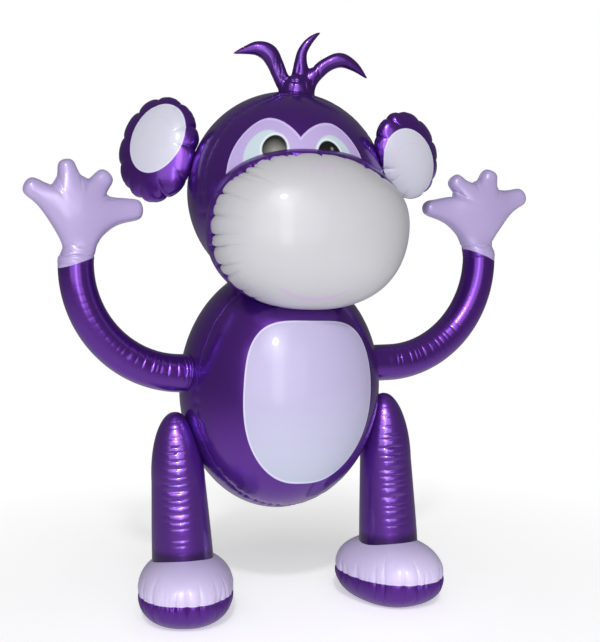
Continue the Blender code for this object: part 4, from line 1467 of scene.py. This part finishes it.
def section_line(name, source, plane):
    """The line in which a plane, given as a place whose Y axis crosses it, cuts a piece."""
    bm = bmesh.new()
    bm.from_mesh(source.data)
    everything = bm.verts[:] + bm.edges[:] + bm.faces[:]
    cut = bmesh.ops.bisect_plane(bm, geom=everything, dist=1e-7, plane_co=plane.translation,
                                 plane_no=plane.col[1].to_3d())["geom_cut"]
    edges = [item for item in cut if isinstance(item, bmesh.types.BMEdge)]
    corners = sorted({vert for edge in edges for vert in edge.verts}, key=lambda vert: vert.index)
    bm.verts.index_update()
    order = {vert: index for index, vert in enumerate(corners)}
    mesh = bpy.data.meshes.new(name)
    pairs = [tuple(order[vert] for vert in edge.verts) for edge in edges]
    mesh.from_pydata([vert.co[:] for vert in corners], pairs, [])
    bm.free()
    return new_piece(name, mesh)


def make_welds():
    """A bead along every seam between two panels, cut from the finished skins, and one round the neck."""
    _, relief = settings()
    purple = (purple_film(), "purple_film")
    seams = [("torso", TORSO_PLACE @ back(-TORSO_SEAM), *purple),
             ("head", HEAD_PLACE @ back(-HEAD_SEAM), *purple), ("tuft", TUFT_PLACE, *purple)]
    for side_name, side in SIDES:
        seams.append((f"{side_name}_ear", ear_place(side_name, side), *purple))
        seams.append((f"{side_name}_hand", wrist_place(side_name, side), hand_film(side_name, side),
                      "lavender_film"))
    for name, plane, film, slot in seams:
        line = section_line(f"{name}_weld", bpy.data.objects[f"{name}_skin"], plane)
        make_bead(line, relief.weld_radius, film)
    turn = turns(NECK_BEAD_STEPS)
    neck = np.stack((np.cos(turn), np.sin(turn) * TORSO_DEPTH / TORSO_WIDTH, 0.0 * turn), axis=1)
    neck = neck * NECK_WIDTH / 2 + np.array((0.0, 0.0, NECK_HEIGHT - HEAD_MIDDLE))
    bead_along("neck_weld", moved(neck, HEAD_PLACE), 0.0010, *purple)


class MonkeyStep:
    """What every step of the monkey shares: it builds its pieces and finishes."""

    bl_options = {"REGISTER", "UNDO"}

    def execute(self, context):
        self.build()
        return {"FINISHED"}


class MONKEY_OT_body(MonkeyStep, Operator):
    """Blow up the torso and the head"""

    bl_idname = "monkey.body"
    bl_label = "Torso and Head"

    def build(self):
        make_body()


class MONKEY_OT_muzzle(MonkeyStep, Operator):
    """Blow up the muzzle on the head"""

    bl_idname = "monkey.muzzle"
    bl_label = "Muzzle"

    def build(self):
        make_muzzle()


class MONKEY_OT_ears(MonkeyStep, Operator):
    """Blow up both gathered ears"""

    bl_idname = "monkey.ears"
    bl_label = "Ears"

    def build(self):
        for side_name, side in SIDES:
            make_ear(side_name, side)


class MONKEY_OT_tuft(MonkeyStep, Operator):
    """Blow up the tuft of hair"""

    bl_idname = "monkey.tuft"
    bl_label = "Tuft of Hair"

    def build(self):
        make_tuft()


class MONKEY_OT_limbs(MonkeyStep, Operator):
    """Blow up the arms and legs along their guides"""

    bl_idname = "monkey.limbs"
    bl_label = "Arms and Legs"

    def build(self):
        tree = make_tube_tree()
        for side_name, side in SIDES:
            make_arm(tree, side_name, side)
            make_leg(tree, side_name, side)


class MONKEY_OT_hands(MonkeyStep, Operator):
    """Blow up both hands"""

    bl_idname = "monkey.hands"
    bl_label = "Hands"

    def build(self):
        for side_name, side in SIDES:
            make_hand(side_name, side)


class MONKEY_OT_feet(MonkeyStep, Operator):
    """Blow up the uppers and soles of the feet"""

    bl_idname = "monkey.feet"
    bl_label = "Feet"

    def build(self):
        for side_name, side in SIDES:
            make_foot(side_name, side)


class MONKEY_OT_valve(MonkeyStep, Operator):
    """Finish the inflation valve"""

    bl_idname = "monkey.valve"
    bl_label = "Valve"

    def build(self):
        make_valve()


class MONKEY_OT_welds(MonkeyStep, Operator):
    """Run a bead along every seam between two panels"""

    bl_idname = "monkey.welds"
    bl_label = "Welds"

    def build(self):
        make_welds()


class MONKEY_OT_stage(MonkeyStep, Operator):
    """Set the floor, the soft lights and the photograph's camera"""

    bl_idname = "monkey.stage"
    bl_label = "Studio"

    def build(self):
        make_floor()
        make_lights()
        make_world()
        make_camera()


def make_floor():
    """A disc of white paper that glows a little under the figure and glows plain white round it, where no
    shadow shows.
    """
    studio = bpy.context.scene.studio_light
    mesh = bpy.data.meshes.new("studio_floor")
    rim = [(FLOOR_RADIUS * cos(turn), FLOOR_RADIUS * sin(turn), 0.0) for turn in turns(FLOOR_SIDES)]
    mesh.from_pydata(rim, [], [tuple(range(FLOOR_SIDES))])
    floor = new_piece("studio_floor", mesh)
    sheet = Sheet("floor paper", roughness=0.7, emission_strength=1.0)
    x, y, _ = sheet.place(Matrix.Identity(4))
    outer_glow = ((away_from(x, y, (0.0, 0.0)) - FLOOR_FADE[0]) / (FLOOR_FADE[1] - FLOOR_FADE[0])).clamped()
    paper = sheet.mix(sheet.noise(30.0, 4.0), shaded(studio.floor, 0.985), studio.floor)
    # The floor glows: a weak glow under the figure that rises to plain white round it and fades the shadow
    # there
    sheet.feed("Base Color", sheet.mix(outer_glow, paper, (0.0, 0.0, 0.0)))
    sheet.feed("Emission Color", sheet.mix(outer_glow, (studio.floor_glow,) * 3, WHITE[:3]))
    mesh.materials.append(sheet.material)
    floor.visible_glossy = False  # else its edge draws a hard horizon across the shiny film


def add_light(name, spot, size, power):
    """A rectangular lamp at a place given as the camera sees it, turned to the figure's middle."""
    lamp = bpy.data.lights.new(name, "AREA")
    lamp.shape = "RECTANGLE"
    lamp.size, lamp.size_y = size
    lamp.energy = power
    thing = new_piece(name, lamp)
    thing.location = LIT_MIDDLE + from_view(*spot)
    thing.rotation_euler = (-from_view(*spot)).to_track_quat("-Z", "Y").to_euler()


def from_view(right, up, nearer):
    """A direction given as the camera sees it, in the figure's frame."""
    across = Vector((cos(VIEW_TURN), sin(VIEW_TURN), 0.0))
    towards = Vector((sin(VIEW_TURN), -cos(VIEW_TURN), 0.0))
    return across * right + towards * nearer + Vector((0.0, 0.0, up))


def make_lights():
    """A small sun above the camera with a wide faint halo, a tall strip and a broad fill."""
    studio = bpy.context.scene.studio_light
    for name, power, width in (("key_light", studio.key_power, KEY_WIDTH),
                               ("key_halo", studio.halo_power, HALO_WIDTH)):
        sun = bpy.data.lights.new(name, "SUN")
        sun.energy = power
        sun.angle = width
        new_piece(name, sun).rotation_euler = from_view(*KEY_WAY).to_track_quat("Z", "Y").to_euler()
    add_light("strip_light", STRIP_SPOT, STRIP_SIZE, studio.strip_power)
    add_light("fill_light", FILL_SPOT, FILL_SIZE, studio.fill_power)


def make_world():
    """A white background behind the figure, and a dim room for the film to reflect."""
    studio = bpy.context.scene.studio_light
    world = bpy.data.worlds.new("studio")
    world.use_nodes = True
    world.node_tree.nodes.clear()
    bpy.context.scene.world = world
    nodes = Nodes(world.node_tree)
    direction = nodes.node("ShaderNodeTexCoord").outputs["Generated"]
    height = nodes.node("ShaderNodeSeparateXYZ", None, {0: direction}).outputs[2]

    def ramp(start, stop, low, high):
        return nodes.number("ShaderNodeMapRange", {"interpolation_type": "SMOOTHSTEP"}, {
            "Value": height, "From Min": start, "From Max": stop, "To Min": low, "To Max": high})

    level = ramp(0.1, 1.0, studio.walls, studio.ceiling) + ramp(0.0, -0.85, 0.0, studio.floor_shine)
    room = nodes.node("ShaderNodeBackground", None, {"Color": WHITE, "Strength": level})
    white = nodes.node("ShaderNodeBackground", None, {"Color": WHITE})
    seen = nodes.node("ShaderNodeLightPath").outputs["Is Camera Ray"]
    either = nodes.node("ShaderNodeMixShader", None, {0: seen, 1: room.outputs[0], 2: white.outputs[0]})
    nodes.node("ShaderNodeOutputWorld", None, {"Surface": either.outputs[0]})
    bpy.context.scene.view_settings.view_transform = "Standard"


def make_camera():
    """The photograph's camera, turned so that the picture's middle lies beside the figure's axis."""
    data = bpy.data.cameras.new("photo_camera")
    ahead = from_view(0.0, 0.0, -1.0)
    across = from_view(1.0, 0.0, 0.0)
    turn = atan((PICTURE[0] / 2 - VIEW_AXIS) / VIEW_FOCUS)
    level = ahead * cos(turn) + across * sin(turn)
    right = across * cos(turn) - ahead * sin(turn)
    look = level * cos(VIEW_PITCH) + Vector((0.0, 0.0, -1.0)) * sin(VIEW_PITCH)
    up = right.cross(look)
    spot = SHIFT @ from_view(0.0, VIEW_HEIGHT, VIEW_DISTANCE)
    camera = new_piece("photo_camera", data)
    camera.matrix_world = Matrix((
        (right.x, up.x, -look.x, spot.x), (right.y, up.y, -look.y, spot.y),
        (right.z, up.z, -look.z, spot.z), (0.0, 0.0, 0.0, 1.0)))
    data.sensor_width = 36.0
    data.lens = VIEW_FOCUS * data.sensor_width / max(PICTURE)
    bpy.context.scene.camera = camera


STEPS = (MONKEY_OT_body, MONKEY_OT_muzzle, MONKEY_OT_ears, MONKEY_OT_tuft, MONKEY_OT_limbs,
         MONKEY_OT_hands, MONKEY_OT_feet, MONKEY_OT_valve, MONKEY_OT_welds, MONKEY_OT_stage)


class MONKEY_PT_steps(Panel):
    """Lists the colours, the relief and the steps of the monkey."""

    bl_idname = "MONKEY_PT_steps"
    bl_label = "Inflatable Monkey"
    bl_space_type = "VIEW_3D"
    bl_region_type = "UI"
    bl_category = "Monkey"

    def draw(self, context):
        for group in (context.scene.film_colours, context.scene.film_relief, context.scene.studio_light):
            box = self.layout.box()
            for name in group.__annotations__:
                box.prop(group, name)
        for step in STEPS:
            self.layout.operator(step.bl_idname)


CLASSES = (FilmColours, FilmRelief, StudioLight, *STEPS, MONKEY_PT_steps)


def register():
    for item in CLASSES:
        bpy.utils.register_class(item)
    bpy.types.Scene.film_colours = PointerProperty(type=FilmColours)
    bpy.types.Scene.film_relief = PointerProperty(type=FilmRelief)
    bpy.types.Scene.studio_light = PointerProperty(type=StudioLight)


def unregister():
    del bpy.types.Scene.studio_light
    del bpy.types.Scene.film_relief
    del bpy.types.Scene.film_colours
    for item in reversed(CLASSES):
        bpy.utils.unregister_class(item)


def main():
    register()
    bpy.ops.monkey.stage()
    for step in STEPS[:-1]:
        getattr(bpy.ops.monkey, step.bl_idname.split(".")[1])()


if __name__ == "__main__":
    main()
